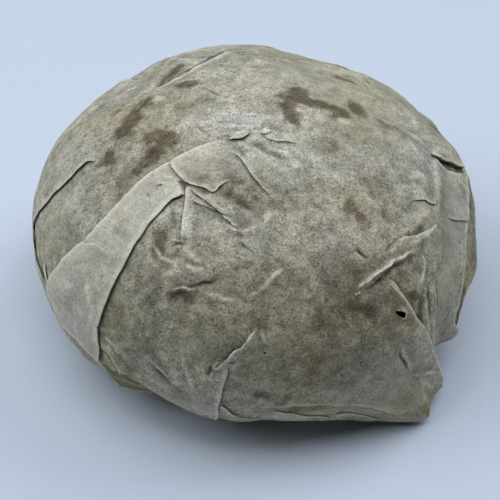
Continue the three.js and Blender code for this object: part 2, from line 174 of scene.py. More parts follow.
def paperPoint(azimuth, along, lift=0.0, profile=hangingProfile, undercut=False):
    # points of the paper's outside, in mm, as the solid's own rule has them
    azimuth, along = np.asarray(azimuth, float), np.asarray(along, float)
    r, z, nr, nz = [np.interp(along, profile["along"], profile[k]) for k in ("r", "z", "nr", "nz")]
    turned = azimuth % 360
    flat = sum(depth * hump(turned, at, reach) * hump(along, low, span)
               for at, reach, low, span, depth in dome["flattened"])
    swell = (np.sin(np.radians(3 * azimuth + dome["threeWavesAt"]))
             + np.sin(np.radians(5 * azimuth + dome["fiveWavesAt"]) + along / dome["waveSlant"]))
    begin, end = smooth(along / dome["wavesBegin"]), smooth((wallEnd - along) / dome["wavesEnd"])
    out = lift - flat - dome["unevenness"] * begin * end * swell
    cut = 0.0
    if undercut:
        fade = dome["undercutTop"] * dome["undercutFade"]
        below = smooth((dome["undercutTop"] - z) / fade) * (along > domeEnd - 1)
        cut = dome["undercutDepth"] * hump(turned, dome["undercutAt"], dome["undercutReach"]) * below
        cut = cut * np.where(along > heelEnd, dome["undercutPastHeel"], 1.0)
    radius = np.maximum(0, r + nr * out - cut)
    rise = (z - dome["widestHeight"]) / (dome["crownHeight"] - dome["widestHeight"])
    lean = dome["crownLean"] * clamp01(rise)
    angle = np.radians(azimuth)
    return np.stack([radius * np.cos(angle) + np.where(along < wallEnd, lean, 0),
                     radius * np.sin(angle), z + nz * out], axis=-1)


def paperAxes(azimuth, along):
    # unit vectors down the paper and round it, and the outward normal
    step = 0.05
    down = unit(paperPoint(azimuth, along + step) - paperPoint(azimuth, np.maximum(along - step, 0)))
    angle = np.radians(azimuth)
    about = np.stack([-np.sin(angle), np.cos(angle), 0 * angle], axis=-1)
    normal = unit(np.cross(about, down)) * -1
    return down, unit(np.cross(normal, down)), normal


print("profile: hem runs to", round(float(hangingProfile["along"][-1]), 1), "mm from the crown")

# the ear: the corner of the sheet that stands off at the front right

ear = {
    "along": [41.3, 48.3, 57.0, 63.5, 72.0],     # rows of `push`
    # the ear's left side and its ridge: along, then azimuth
    "leftAt": ([41, 47, 56, 62, 69], [305.5, 301, 292, 288.4, 288]),
    "ridgeAt": ([41.6, 49.5, 58, 64.6, 69.5, 72], [307, 310.8, 315.6, 318.2, 320.6, 321]),
    # mm that each row stands off at each share of the way from the left side to the ridge
    "shares": [0, 0.22, 0.4, 0.55, 0.65, 0.73, 0.79, 0.87, 1],
    "push": [[0, 0, 0, 0, 0, 0, 0.05, 0.07, 0.1],
             [0, 0.1, 0.26, 0.38, 0.47, 0.55, 0.6, 0.68, 0.8],
             [0, 0.3, 0.7, 1.0, 1.2, 1.4, 1.5, 1.46, 1.4],
             [0.9, 1.7, 2.8, 3.7, 4.1, 3.9, 3.6, 3.0, 2.4],
             [0.6, 1.0, 2.9, 5.5, 7.4, 8.0, 6.7, 6.0, 5.8]],
    "fallsOver": [5.0, 5.4, 5.6, 4.6, 4.0],      # degrees past the ridge, for each row
    # the hem beside it stands off a little too
    "hemLift": 0.8, "hemFrom": 261, "hemFromFade": 1.5, "hemTop": 61, "hemTopFade": 2.5,
}


def earPush(azimuth, along):
    left = np.interp(along, *ear["leftAt"])
    crest = np.interp(along, *ear["ridgeAt"])
    share = clamp01((azimuth - left) / (crest - left))
    rows = np.array([np.interp(share, ear["shares"], row) for row in ear["push"]])
    fall = np.array([1 - smooth((azimuth - crest) / width) for width in ear["fallsOver"]])
    rows = rows * fall
    levels = np.array(ear["along"])
    level = np.interp(along, levels, np.arange(len(levels)))
    low = np.minimum(level.astype(int), len(levels) - 2)
    columns = np.arange(len(azimuth))
    push = mix(rows[low, columns], rows[low + 1, columns], level - low)
    inside = (azimuth > left) & (along > levels[0])
    hemDown = smooth((along - ear["hemTop"]) / ear["hemTopFade"])
    hemSide = smooth((azimuth - ear["hemFrom"]) / ear["hemFromFade"])
    return np.where(inside, push, 0) + ear["hemLift"] * hemDown * hemSide * (azimuth <= left)


def shapedPoint(azimuth, along):
    # the paper with the ear pushed out, before any fold
    azimuth, along = np.atleast_1d(azimuth) * 1.0, np.atleast_1d(along) * 1.0
    return paperPoint(azimuth, along) + outwardAt(azimuth) * earPush(azimuth % 360, along)[:, None]


# the camera, and the way back from a pixel of the photograph to a place on the dome

camera = {
    "pixels": 500, "focalPixels": 1228.0, "distance": 240.0, "elevation": 43.0,
    "target": (-0.76, 0.0, 10.4), "sensor": 36.0,
}
seeking = {
    # the grid of places that a pixel starts from: degrees, mm, and how far the paper faces the camera
    "turnStep": 2.0, "downStep": 1.0, "end": 76, "facing": 0.02,
    # its steps from there: how many, the trial step, the flattest view and the longest step
    "rounds": 6, "step": 0.2, "tooFlat": 0.4, "most": np.array([3.0, 1.5]),
}


def cameraAxes():
    e = math.radians(camera["elevation"])
    back = np.array([0, -math.cos(e), math.sin(e)])
    up = np.array([0, math.sin(e), math.cos(e)])
    return np.array([1.0, 0, 0]), up, back


def eyePlace():
    return np.array(camera["target"]) + camera["distance"] * cameraAxes()[2]


def toPicture(points):
    right, up, back = cameraAxes()
    seen = np.asarray(points) - eyePlace()
    depth = -(seen @ back)
    half = camera["pixels"] / 2
    return np.stack([half + camera["focalPixels"] * (seen @ right) / depth,
                     half - camera["focalPixels"] * (seen @ up) / depth], axis=-1)


def visibleGrid():
    turns = np.arange(0, 360, seeking["turnStep"])
    downs = np.arange(seeking["downStep"] / 2, seeking["end"], seeking["downStep"])
    azimuth, along = [values.ravel() for values in np.meshgrid(turns, downs)]
    points = shapedPoint(azimuth, along)
    normal = paperAxes(azimuth, along)[2]
    faces = (normal * unit(eyePlace() - points)).sum(1) > seeking["facing"]
    return azimuth[faces], along[faces], toPicture(points[faces])


gridAzimuth, gridAlong, gridPicture = visibleGrid()


def seenOnDome(pixels):
    # (azimuth, along) of points of the photograph on the plain dome
    places = []
    step = seeking["step"]
    for pixel in np.asarray(pixels, float):
        at = np.argmin(((gridPicture - pixel) ** 2).sum(1))
        place = np.array([gridAzimuth[at], gridAlong[at]])
        for _ in range(seeking["rounds"]):
            here, turned, moved = toPicture(shapedPoint(place[0] + np.array([0, step, 0]),
                                                        place[1] + np.array([0, 0, step])))
            slopes = np.stack([turned - here, moved - here], axis=1) / step
            if abs(np.linalg.det(slopes)) < seeking["tooFlat"]:
                break
            place = place + np.clip(np.linalg.solve(slopes, pixel - here), -seeking["most"], seeking["most"])
        places.append(place)
    return np.array(places)


# Folds. The lists of a lap run across its line, at the distances of lapRows, the upper layer first.

lapRows = [-0.8, -0.22, -0.08, 0.0, 0.06, 0.13, 0.3, 0.75]       # mm from the line
lapHeight = [0.9, 0.95, 1.0, 0.82, 0.45, 0.0, -0.1, 0.0]
lapShift = [0.0, 0.04, 0.14, 0.2, 0.05, -0.16, -0.08, 0.0]
lapHighlight = [0.0, 0.4, 0.95, 1.0, 0.2, 0.0, 0.0, 0.0]               # painted highlight on the folded edge
lapShadow = [0.0, 0.0, 0.0, 0.1, 1.0, 1.0, 0.35, 0.0]              # painted shadow under the edge
ridgeShares = np.array([-1.0, -0.4, 0.0, 0.4, 1.0])              # rows of a crest or furrow, in widths

creasing = {
    "pathStep": 0.5,                       # mm between the points of a fold's line
    "plainHighlight": 0.45,                      # how bright the painted highlight on a soft crest is
    "endShare": 0.35, "longestEnd": 4,     # the share of a fold, and the most mm, that an end takes to fade
    "wander": 0.22, "wanderSize": 2.2,     # mm that a folded edge strays from its line
    "jagSize": 1.1,                        # mm between the turns of a jagged crack
    "mean": 0.85, "swing": 0.8, "swingSize": 2.4,      # a crumpled crest comes and goes
    "pastLap": 1.5, "pastCrest": 1.6,      # how far past its fade, in mm, or its width a fold is worked out
    "block": 4000,                         # points worked on at a time
    "sideways": 0.7,                       # beside the line, this share of the distance is sideways
    "nearest": 4, "nearGap": 0.01,         # how much the nearest stretch counts, and square mm that soften it
    "fullShift": 0.4, "mostShift": 1.6, "fullRim": 0.3,      # heights with the shift and rim of the lists
    "crestPower": 1.4, "crestSwell": 0.4,      # a crest's section, sharp on top and fuller at its foot
}


def lap(height, fade, over, line, **more):
    # one layer lies over another and turns back under itself; `over` is a point on the upper layer
    # and `fade` is how far that layer takes to come down again
    return {"kind": "lap", "height": height, "fade": fade, "over": over, "line": line, **more}


def ridge(height, width, line, **more):
    return {"kind": "ridge", "height": height, "width": width, "line": line, **more}


def valley(height, width, line, **more):
    return {"kind": "valley", "height": height, "width": width, "line": line, **more}


# Each fold has its height in mm, its fade or width in mm, and the pixels that it follows. `ends` are
# the mm over which it fades out, `jag` how far it zigzags, `rim` how bright its painted edge highlight is,
# `dark` and `shade` how dark and how wide the painted shadow under the edge or in the furrow is; at a
# pinhole that dark is tea.
folds = {
    "band": lap(0.6, 11, (140, 215), [(236, 137), (225.3, 138), (206.7, 147.3), (186, 156.5),
        (169.3, 164.7), (145.3, 179.3), (121.3, 203.3), (96, 232), (85.3, 243.1), (76, 250), (67, 259.5),
        (57, 272), (50.7, 281), (48.8, 287.3), (56.4, 305), (64.5, 322), (81.3, 340.5), (92, 352),
        (100, 360.2), (99.8, 340), (98.5, 325), (103, 311), (110.7, 291.3), (118, 276), (126.7, 259.3),
        (136, 243), (145.3, 228.5), (160, 211.5), (170.6, 199), (178, 197),
        (186, 194.5)], ends=(7, 1), dark=0.75),
    "leftShoulder": lap(0.5, 14, (55, 165), [(101, 163.5), (93, 161.5), (86.7, 162.5), (77.3, 171.3),
        (73, 177.5), (60, 190), (48.5, 203.3), (37, 217), (34.6, 228), (34.2, 238), (36, 250), (38.5, 261),
        (42, 272), (47, 284)], ends=(4, 2), rim=0.6, dark=0.7, shade=0.35),
    "leftTuck": lap(0.3, 2, (42, 268), [(45.5, 261), (46.8, 268), (48.6, 277), (48.8, 287)], ends=(1, 1)),
    "frontLap": lap(0.5, 14, (195, 400), [(228, 363), (227, 368), (223.8, 381), (217.8, 402), (217.3, 412),
        (217.3, 422)], ends=(2, 0)),
    "frontPinch": lap(0.45, 4, (250, 356), [(257, 329), (252, 334), (246.5, 341.5), (236, 351),
        (225.5, 362), (217, 366.5)], ends=(1.5, 1), jag=0.3),
    "centreFold": lap(0.42, 9, (205, 165), [(169.5, 164.6), (178, 174), (188, 183.5), (198, 186),
        (208, 190.2), (213.5, 193.5), (217, 188.5), (224, 183.5), (233.3, 179.4)], ends=(1, 3)),
    "centreLens": lap(0.34, 3, (236, 206), [(190.7, 190), (200, 196), (208, 202), (217.6, 210),
        (225.5, 214.5), (233, 217)], ends=(1.5, 2)),
    "centreLens2": lap(0.34, 2.5, (240, 214), [(219, 212.5), (227, 219), (233, 224.5),
        (241, 229)], ends=(1.5, 1.5)),
    "longCrease": lap(0.3, 8, (285, 175), [(231, 152), (241.4, 160), (252.7, 175.5), (264.9, 190.6),
        (273, 202)], ends=(3, 4), rim=0.35),
    "rightPocket": lap(1.0, 10, (452, 140), [(428.5, 151), (432.5, 155), (438, 158.8), (444.5, 162.8),
        (452, 166.8), (459, 169.6)], ends=(2, 0.5), dark=0.22, shade=2.2),
    "pocketFloor": lap(0.35, 5, (449, 190), [(433.5, 156), (437.5, 162), (445.5, 171), (453, 175.5),
        (460.5, 177)], ends=(1, 1), dark=0.4),
    "rightUpright": lap(0.75, 7, (430, 250), [(462, 170), (464.2, 182), (464.6, 200), (464, 221),
        (462.9, 240), (461.6, 263), (458.8, 287), (454.2, 305), (449, 322),
        (446.5, 335.6)], ends=(1.5, 0), dark=0.75, shade=1.2),
    "topFold": ridge(0.5, 0.6, [(157, 87.5), (173, 80), (190.7, 72), (210.7, 62.2),
        (231, 52.6)], jag=0.12, rim=1.0),
    "topFoldShade": valley(0.25, 0.6, [(155.5, 84.6), (171.5, 77.2), (189.4, 69.2), (209.4, 59.3),
        (229, 50)], dark=0.9),
    "topLeftCrack": lap(0.2, 2.5, (160, 104), [(145.5, 97.5), (149, 95.3), (153, 94.6), (160, 95.6),
        (168, 97)], ends=(1, 1.5)),
    "earEdge": lap(0.4, 5, (385, 330), [(385.6, 277.5), (390, 281), (400, 294.3), (409.5, 307.5),
        (417, 319.5), (424, 331.5), (429, 343), (434, 355), (439, 368.5), (442.5, 379)], ends=(1.5, 0)),
    "knotUpper": lap(0.25, 1.2, (240, 138), [(229, 138.4), (234, 135.2), (241, 134.2), (248, 132.8),
        (250, 134.2)], ends=(0.6, 0.3)),
    "knotLower": lap(0.34, 1.2, (240, 136), [(229, 140), (236, 140.6), (243, 139.2), (247, 137),
        (250, 134.6)], ends=(0.6, 0.3)),
    "knot": ridge(0.5, 0.8, [(232, 138), (240, 137), (247, 134.9)], rim=1.0),
    "crackA": lap(0.24, 2.5, (262, 138), [(249, 134), (253, 131.6), (258, 131.8), (263, 129.6),
        (268.5, 126.5)], ends=(0.5, 1), jag=0.35, rim=0.6),
    "crackB": lap(0.22, 2, (267, 130), [(260, 132), (263.5, 135), (268, 134.6),
        (273, 131.6)], ends=(0.5, 0.8), jag=0.35, rim=0.6),
    "crackC": lap(0.22, 2.5, (285, 135), [(265, 137), (270, 139.6), (277, 141.4), (288, 141.6),
        (299, 144.6)], ends=(0.5, 1.5), jag=0.35, rim=0.4),
    "centreLine": lap(0.2, 2.5, (208, 196), [(191.4, 201), (201.6, 204.3), (211.8, 209),
        (222, 213)], ends=(0.8, 1)),
    "hemCrease": lap(0.24, 6, (320, 385), [(256, 408), (270, 406.6), (288, 406), (322, 405.4),
        (354.7, 404.7), (366, 405.6), (375, 407.6), (389, 411.5), (400, 416)], ends=(2, 2)),
    "hemCrease2": lap(0.2, 3, (300, 420), [(272, 410.5), (290, 413.5), (308, 416),
        (330, 417.6)], ends=(1, 1)),
    "hemCrease3": lap(0.2, 3, (350, 420), [(332, 416), (342, 413), (355, 413.4), (368, 417),
        (380, 420)], ends=(1, 1)),
    "hemFlick": lap(0.25, 2, (232, 414), [(221, 404), (226, 407.5), (231, 412),
        (238, 416)], ends=(0.5, 0.5)),
    "tipFold": lap(0.4, 2, (112, 350), [(101, 345), (108, 350), (112, 357), (118, 366),
        (122.5, 374)], ends=(0.5, 0.5)),
    "tipFold2": lap(0.32, 2, (120, 350), [(104, 337), (110, 342), (115, 346), (119, 355)], ends=(0.5, 0.5)),
    "uprightPleat": lap(0.4, 1.1, (190, 212), [(187.3, 186), (186.7, 196), (185.6, 206), (184.2, 220),
        (182, 235), (181.6, 240)], ends=(0.5, 1)),
    "reverseFold": ridge(0.4, 0.55, [(153, 240), (156, 249), (159, 257), (165, 260.5), (172, 262),
        (181, 270)], jag=0.35, rim=1.0),
    "underPleat": ridge(0.4, 0.5, [(166, 240), (174, 239.3), (182, 241), (187, 246.5)], jag=0.35, rim=1.0),
    "paleFacet": ridge(0.35, 0.9, [(181, 267), (189, 269), (197, 270.5), (203, 271)], jag=0.35, rim=0.9),
    "vFold": ridge(0.35, 0.6, [(201, 291), (213, 297), (226, 301), (238, 301.5)], jag=0.35, rim=0.7),
    "lensLight": ridge(0.4, 0.5, [(201, 193.5), (208, 200), (218, 208.5), (231, 215.5)], rim=1.0),
    "lensRing": ridge(0.4, 0.7, [(216, 224), (225, 228.5), (240, 231.5), (251, 231), (262, 226),
        (270, 217.5), (279, 208.5)], jag=0.35, rim=0.8),
    "ringUpper": ridge(0.25, 0.6, [(213, 219), (219, 225), (229, 227), (240, 228.5)], jag=0.35, rim=0.6),
    "centreDark": valley(0.35, 0.7, [(235, 200.5), (243, 204.5), (251, 209.5)], dark=0.2),
    "rightCrack": lap(0.26, 3, (424, 190), [(413, 200.6), (419, 199.4), (425.5, 200.4), (430.6, 203.4),
        (436.4, 205.5)], ends=(1, 1)),
    "rightCrack2": lap(0.2, 2.5, (455, 212), [(447, 218), (451, 220), (456, 220.8),
        (463, 221)], ends=(0.8, 0)),
    "rightFold": lap(0.34, 5, (440, 240), [(384.5, 252), (393, 245), (400, 239.4), (412, 236.8),
        (424, 233.2), (431, 228.6), (436, 223.5)], ends=(2, 1), dark=0.5),
    "bandShine": ridge(0.35, 1.0, [(86, 243.3), (93, 245.5), (101, 247.2), (109, 252.5),
        (118, 260)], jag=0.2, rim=1.0),
    "bandCrease": lap(0.22, 6, (95, 262), [(85.5, 242.8), (93, 245), (100, 246.4), (108, 251.5),
        (116, 258.5)], ends=(0.4, 3)),
    "panelFoot": lap(0.3, 4, (425, 300), [(424.5, 283), (427.5, 300), (428.3, 316), (427.5, 330),
        (430, 342)], ends=(1.5, 0)),
    "panelFoot2": lap(0.26, 3, (430, 300), [(433.5, 278), (435, 292), (436, 305), (434.5, 318),
        (432, 330)], ends=(1.5, 1)),
    "frayed": ridge(0.7, 0.55, [(353.3, 294), (360, 286.5), (368, 280.7), (376, 274.5), (384, 268.7),
        (392, 263), (400, 258), (409, 254), (417.3, 250.8)], jag=0.3, rim=1.0),
    "frayedTwin": ridge(0.35, 0.5, [(358, 293), (370, 284), (381, 275.5), (389, 268), (399, 262)], jag=0.4),
    "cornerCrest": ridge(0.5, 0.7, [(374, 114), (384, 121), (397, 127), (410.7, 134), (420, 141),
        (427, 147.5), (435, 152.5)]),
    "rightDrop": ridge(0.42, 0.45, [(417.3, 251.3), (422.7, 258.6), (423, 268), (420.8, 283.3),
        (418.7, 302)], rim=1.0),
    "rightBright": ridge(0.45, 0.8, [(404, 246.5), (413, 242.5), (424, 236.5), (431, 230),
        (435, 224.5)], rim=1.0),
    "rightShade": valley(0.35, 1.1, [(402, 238.5), (412, 234.5), (421, 230), (428, 225.5)], dark=0.35),
    "rightCreaseA": valley(0.35, 0.5, [(354, 247), (361, 253), (368.5, 260)], dark=0.7),
    "rightCreaseB": valley(0.4, 0.5, [(384.6, 251.6), (393, 245), (402, 238.4)], dark=0.9),
    "frayedPatch": ridge(0.45, 0.9, [(356, 289), (364, 283.5), (374, 277.5), (383, 271)], jag=0.4, rim=1.0),
    "frayedFoot": ridge(0.35, 0.4, [(352, 294.5), (358, 292.5), (363, 292.6)], jag=0.3, rim=1.0),
    "bandFacet": ridge(0.25, 0.5, [(162, 176), (170, 179), (180, 182)], jag=0.35, rim=0.8),
    "bandDashA": valley(0.2, 0.28, [(156, 187.5), (160, 185.6), (164, 186.5)], dark=0.5),
    "bandDashB": valley(0.2, 0.28, [(145.5, 193), (149, 198), (152, 202)], dark=0.5),
    "bandSoft": valley(0.25, 1.4, [(112, 226), (122, 236), (131, 243)]),
    "bandSoft2": ridge(0.25, 1.2, [(86, 268), (90, 290), (93, 312), (94, 330)]),
    "rightTick": ridge(0.3, 0.5, [(434.3, 263), (432.7, 274)]),
    "earTwin": ridge(0.3, 0.4, [(383, 279), (389, 285), (397, 294), (403, 303)], rim=1.0),
    "secondTop": ridge(0.3, 0.6, [(169, 59), (177, 59.5), (187, 60.5), (195.5, 64.5)]),
    "fineTop": ridge(0.14, 0.5, [(200.5, 89), (219.6, 99), (247.7, 105.5)]),
    "crownArc": ridge(0.2, 0.6, [(214, 125), (223, 127), (246, 128.3), (258.6, 126)]),
    "crownArc2": ridge(0.18, 0.5, [(242.5, 116.3), (256, 114), (259.5, 116.3)]),
    "bandTick": ridge(0.22, 0.5, [(164.5, 189), (166, 194), (169.5, 198.3)]),
    "bandRow": ridge(0.18, 0.5, [(156, 186), (163, 184.5), (170, 187.5)]),
    "bandRow2": ridge(0.16, 0.5, [(147, 198), (152, 201), (154, 203.5)]),
    "lowLeft": ridge(0.35, 0.5, [(169, 291), (180, 288.8), (196, 287.2)], jag=0.35, rim=1.0),
    "lowLeft2": ridge(0.22, 0.6, [(157, 257), (164, 262), (172, 266), (182, 270)], jag=0.35),
    "facetA": ridge(0.35, 0.8, [(182, 243), (188, 251), (195, 260), (206, 263)], jag=0.35),
    "facetB": ridge(0.3, 1.0, [(159, 278), (166, 273), (176, 272), (188, 268)], jag=0.35),
    "facetC": ridge(0.28, 0.9, [(168, 250), (175, 246), (182, 247)], jag=0.35),
    "longLow": ridge(0.36, 0.7, [(244, 304), (254, 295), (268, 284), (281, 269),
        (291, 262)], jag=0.3, rim=0.9),
    "lowLight": ridge(0.26, 0.8, [(182, 344), (184.5, 360), (190, 376), (198, 395)]),
    "lowLight2": ridge(0.22, 0.9, [(140, 352), (152, 360), (170, 380)]),
    "pinchLoop": ridge(0.4, 0.45, [(226, 361), (220, 362), (214.5, 365), (213.5, 368), (218, 368),
        (224, 366)], rim=1.0),
    "ridgeAbovePinch": ridge(0.5, 0.7, [(258.5, 328), (253, 334), (249.5, 339.5),
        (244, 343)], jag=0.35, rim=1.0),
    "pinchTail": ridge(0.3, 0.5, [(259, 328.5), (263, 336), (266.7, 344.7)]),
    "earFold": ridge(0.2, 0.6, [(399, 336), (403, 350), (408, 362), (413, 375)]),
    "earFold2": ridge(0.3, 0.5, [(411, 375.5), (425, 374.5), (437, 371)], rim=0.8),
    "earFold3": ridge(0.2, 0.7, [(421, 381), (431, 388), (437, 384)]),
    "lobeRight": ridge(0.25, 0.8, [(257, 146), (270, 150), (283, 154), (296, 158)]),
    "softRight": ridge(0.35, 1.6, [(402, 214), (414, 219), (424, 215), (432, 207)]),
    "softRight2": ridge(0.3, 1.4, [(405, 180), (418, 176), (431, 180)]),
    "panelEdge": ridge(0.3, 1.5, [(434, 158), (436.5, 180), (437, 200), (436, 222)]),
    "softCrown": valley(0.5, 1.1, [(248, 139.5), (257.7, 145), (269.3, 151.5), (281, 157.5),
        (290, 162)], dark=0.25),
    "underCrown": valley(0.3, 1.0, [(231, 146), (240, 151), (247, 160)]),
    "faintLeft": valley(0.15, 0.6, [(192.5, 121.6), (200.5, 129.6), (215.7, 140.4)]),
    "junction": valley(0.6, 0.9, [(181, 180), (184.5, 185.5), (186.5, 192)], dark=0.5),
    "centreSoft": valley(0.36, 1.3, [(220, 192), (232, 196), (242, 203), (252, 211)]),
    "centreSoft2": valley(0.3, 1.2, [(226, 186), (238, 181), (248, 182)]),
    "centreTick": valley(0.3, 0.5, [(237.3, 240.6), (242.4, 246.7), (251.6, 250.3)], dark=0.5),
    "leftSoft": valley(0.35, 0.9, [(172, 207), (174.6, 221.2), (172, 233)], dark=0.25),
    "leftTick": valley(0.35, 0.6, [(171, 249.8), (176, 244.5), (181.2, 242), (187, 246)], dark=0.4),
    "lowDash": valley(0.4, 0.5, [(180, 286.3), (190, 285.6), (200, 284.2), (213, 282),
        (220, 278)], jag=0.3, dark=0.55),
    "lowDash2": valley(0.3, 1.3, [(166, 296), (178, 293.5), (192, 293)], dark=0.2),
    "midDash": valley(0.25, 0.6, [(280, 269), (285.5, 265.5), (291, 263)]),
    "lowDark": valley(0.35, 1.1, [(147, 363), (160, 373), (175, 387)], dark=0.25),
    "pinchDark": valley(0.45, 0.5, [(214.8, 364), (211, 367.5), (207, 374)], dark=0.7),
    "pinchDark2": valley(0.35, 0.4, [(228, 363), (237.2, 361.6)]),
    "underFrayed": valley(0.4, 0.7, [(362, 292), (374, 283), (386, 273), (398, 264.5),
        (410, 259)], dark=0.4),
    "gapSliver": valley(0.4, 0.8, [(463, 284), (459.5, 297), (456, 310), (452, 322),
        (449, 331)], dark=0.75),
    "pleatB": valley(0.45, 0.5, [(433.5, 279), (435.5, 292), (436.5, 306), (434, 318)], dark=0.7),
    "pleatA": valley(0.5, 0.7, [(425, 280), (427.6, 302.7), (428.5, 316.5), (427.6, 333)], dark=0.85),
    "topDark": valley(0.35, 0.6, [(191.4, 54), (194, 52), (209.6, 51), (225.4, 49)], dark=0.5),
    "edgeLine": valley(0.3, 0.5, [(76, 120), (88, 106), (100, 96), (116, 86.5), (128, 79.5)]),
    "earFurrow": valley(0.35, 0.4, [(400, 347), (400.5, 357), (406, 363.5), (408.5, 374)], dark=0.6),
    "upperSlit": valley(0.4, 0.35, [(294, 83), (297, 84.6)], dark=1.0),
    "tearBitA": ridge(0.25, 0.3, [(400, 316.5), (403.5, 318.5), (407, 318)], rim=1.0),
    "tearBitB": ridge(0.25, 0.25, [(396, 309.5), (399, 311.5)], rim=1.0),
    "pinhole": valley(0.4, 0.3, [(264.4, 352), (265.4, 355)], dark=1.0),
    "fineLine": valley(0.2, 0.4, [(201, 88), (210, 92), (221, 99)]),
}
# Folds of the same kinds behind, by their places on the dome.
foldsBehind = {
    "backBand": lap(0.55, 11, (56, 50), [(72, 40), (60, 42), (50, 45), (42.5, 51), (39, 58), (41, 62),
        (50, 62.6), (58, 62.5), (61, 52), (66, 47), (74, 43), (80, 40)], ends=(6, 6)),
    "backLap": lap(0.5, 14, (90, 52), [(101, 36), (103, 42), (104, 52), (106, 66)], ends=(5, 0)),
    "backShoulder": lap(0.5, 13, (150, 50), [(139, 30), (136, 40), (135, 50), (133, 66)], ends=(5, 0)),
    "backPinch": lap(0.35, 6, (96, 28), [(76, 30), (88, 34), (98, 37), (110, 36)], ends=(3, 3), dark=0.4),
    "backCrest": ridge(0.5, 0.8, [(120, 34), (118, 46), (118, 58)]),
    "backCrest2": ridge(0.5, 0.8, [(24, 36), (25, 46), (22, 58)]),
    "backLine": valley(0.35, 0.6, [(30, 28), (42, 31), (54, 29)]),
    "backLine2": valley(0.3, 0.5, [(112, 40), (124, 44), (132, 42)]),
    "backLine3": lap(0.25, 4, (86, 50), [(78, 41), (86, 45), (94, 43.5), (101, 47)]),
    "backRow": ridge(0.35, 0.9, [(148, 34), (157, 38), (168, 37)]),
    "backRow2": ridge(0.3, 1.0, [(68, 48), (76, 52), (88, 51)]),
    "backRow3": ridge(0.35, 1.1, [(146, 56), (158, 52), (172, 54)]),
    "backHem": lap(0.25, 6, (80, 55), [(64, 61.5), (74, 61), (86, 61.6), (99, 61)]),
    "backHem2": lap(0.25, 5, (150, 55), [(138, 60.6), (150, 61), (164, 60.2), (178, 60.8)]),
    "backHem3": lap(0.25, 5, (20, 52), [(6, 60), (18, 60.6), (30, 59.8)]),
}


def linePlaces(fold, behind):
    places = np.array(fold["line"], float) if behind else seenOnDome(fold["line"])
    level = places[:, 1:2] * outwardAt(places[:, 0])
    count = max(4, int(lengthsAlong(level)[-1] / creasing["pathStep"]))
    line = resampled(level, count)
    line[1:-1] = (line[:-2] + 2 * line[1:-1] + line[2:]) / 4     # corners are rounded a little
    wander = creasing["wander"] * noises(line, creasing["wanderSize"], (41, 42))
    jag = fold.get("jag", 0) * noises(line, creasing["jagSize"], (44, 45))
    x, y = (line[:, :2] + wander + jag).T
    return np.degrees(np.arctan2(y, x)) % 360, np.hypot(x, y)


def makeFold(name, fold, behind):
    azimuth, along = linePlaces(fold, behind)
    points = paperPoint(azimuth, along)
    down, about, normal = paperAxes(azimuth, along)
    side = unit(np.cross(unit(np.gradient(points, axis=0)), normal))
    isLap = fold["kind"] == "lap"
    if isLap:
        over = fold["over"] if behind else seenOnDome([fold["over"]])[0]
        overPoint = paperPoint(*over)
        nearest = np.argmin(np.linalg.norm(points - overPoint, axis=1))
        if (overPoint - points[nearest]) @ side[nearest] > 0:
            side = -side
    length = lengthsAlong(points)
    shortEnd = min(creasing["longestEnd"], length[-1] * creasing["endShare"])
    taper = np.ones(len(points))
    for end, gone in zip(fold.get("ends", (shortEnd, shortEnd)), (length, length[-1] - length)):
        if end:
            taper = taper * smooth(gone / end)
    if not isLap:
        swing = creasing["swing"] * noiseAt(points, creasing["swingSize"], 43)
        taper = taper * clamp01(creasing["mean"] + swing)
    radius = np.maximum(np.hypot(points[:, 0], points[:, 1]), 1.0)
    rows = []
    for offset in (lapRows if isLap else ridgeShares * fold["width"]):
        turned = np.degrees((side * about).sum(1) * offset / radius)
        rows.append((azimuth + turned, along + (side * down).sum(1) * offset))
    return {"name": name, "points": points, "side": side, "taper": taper, "rows": rows,
            "shade": fold.get("shade", lapRows[-2]), "dark": fold.get("dark", float(isLap)),
            "rim": fold.get("rim", 1.0 if isLap else creasing["plainHighlight"]),
            **{k: fold[k] for k in ("kind", "height", "fade", "width") if k in fold}}


foldLines = [makeFold(name, fold, False) for name, fold in folds.items()]
foldLines += [makeFold(name, fold, True) for name, fold in foldsBehind.items()]
print("folds:", len(foldLines))


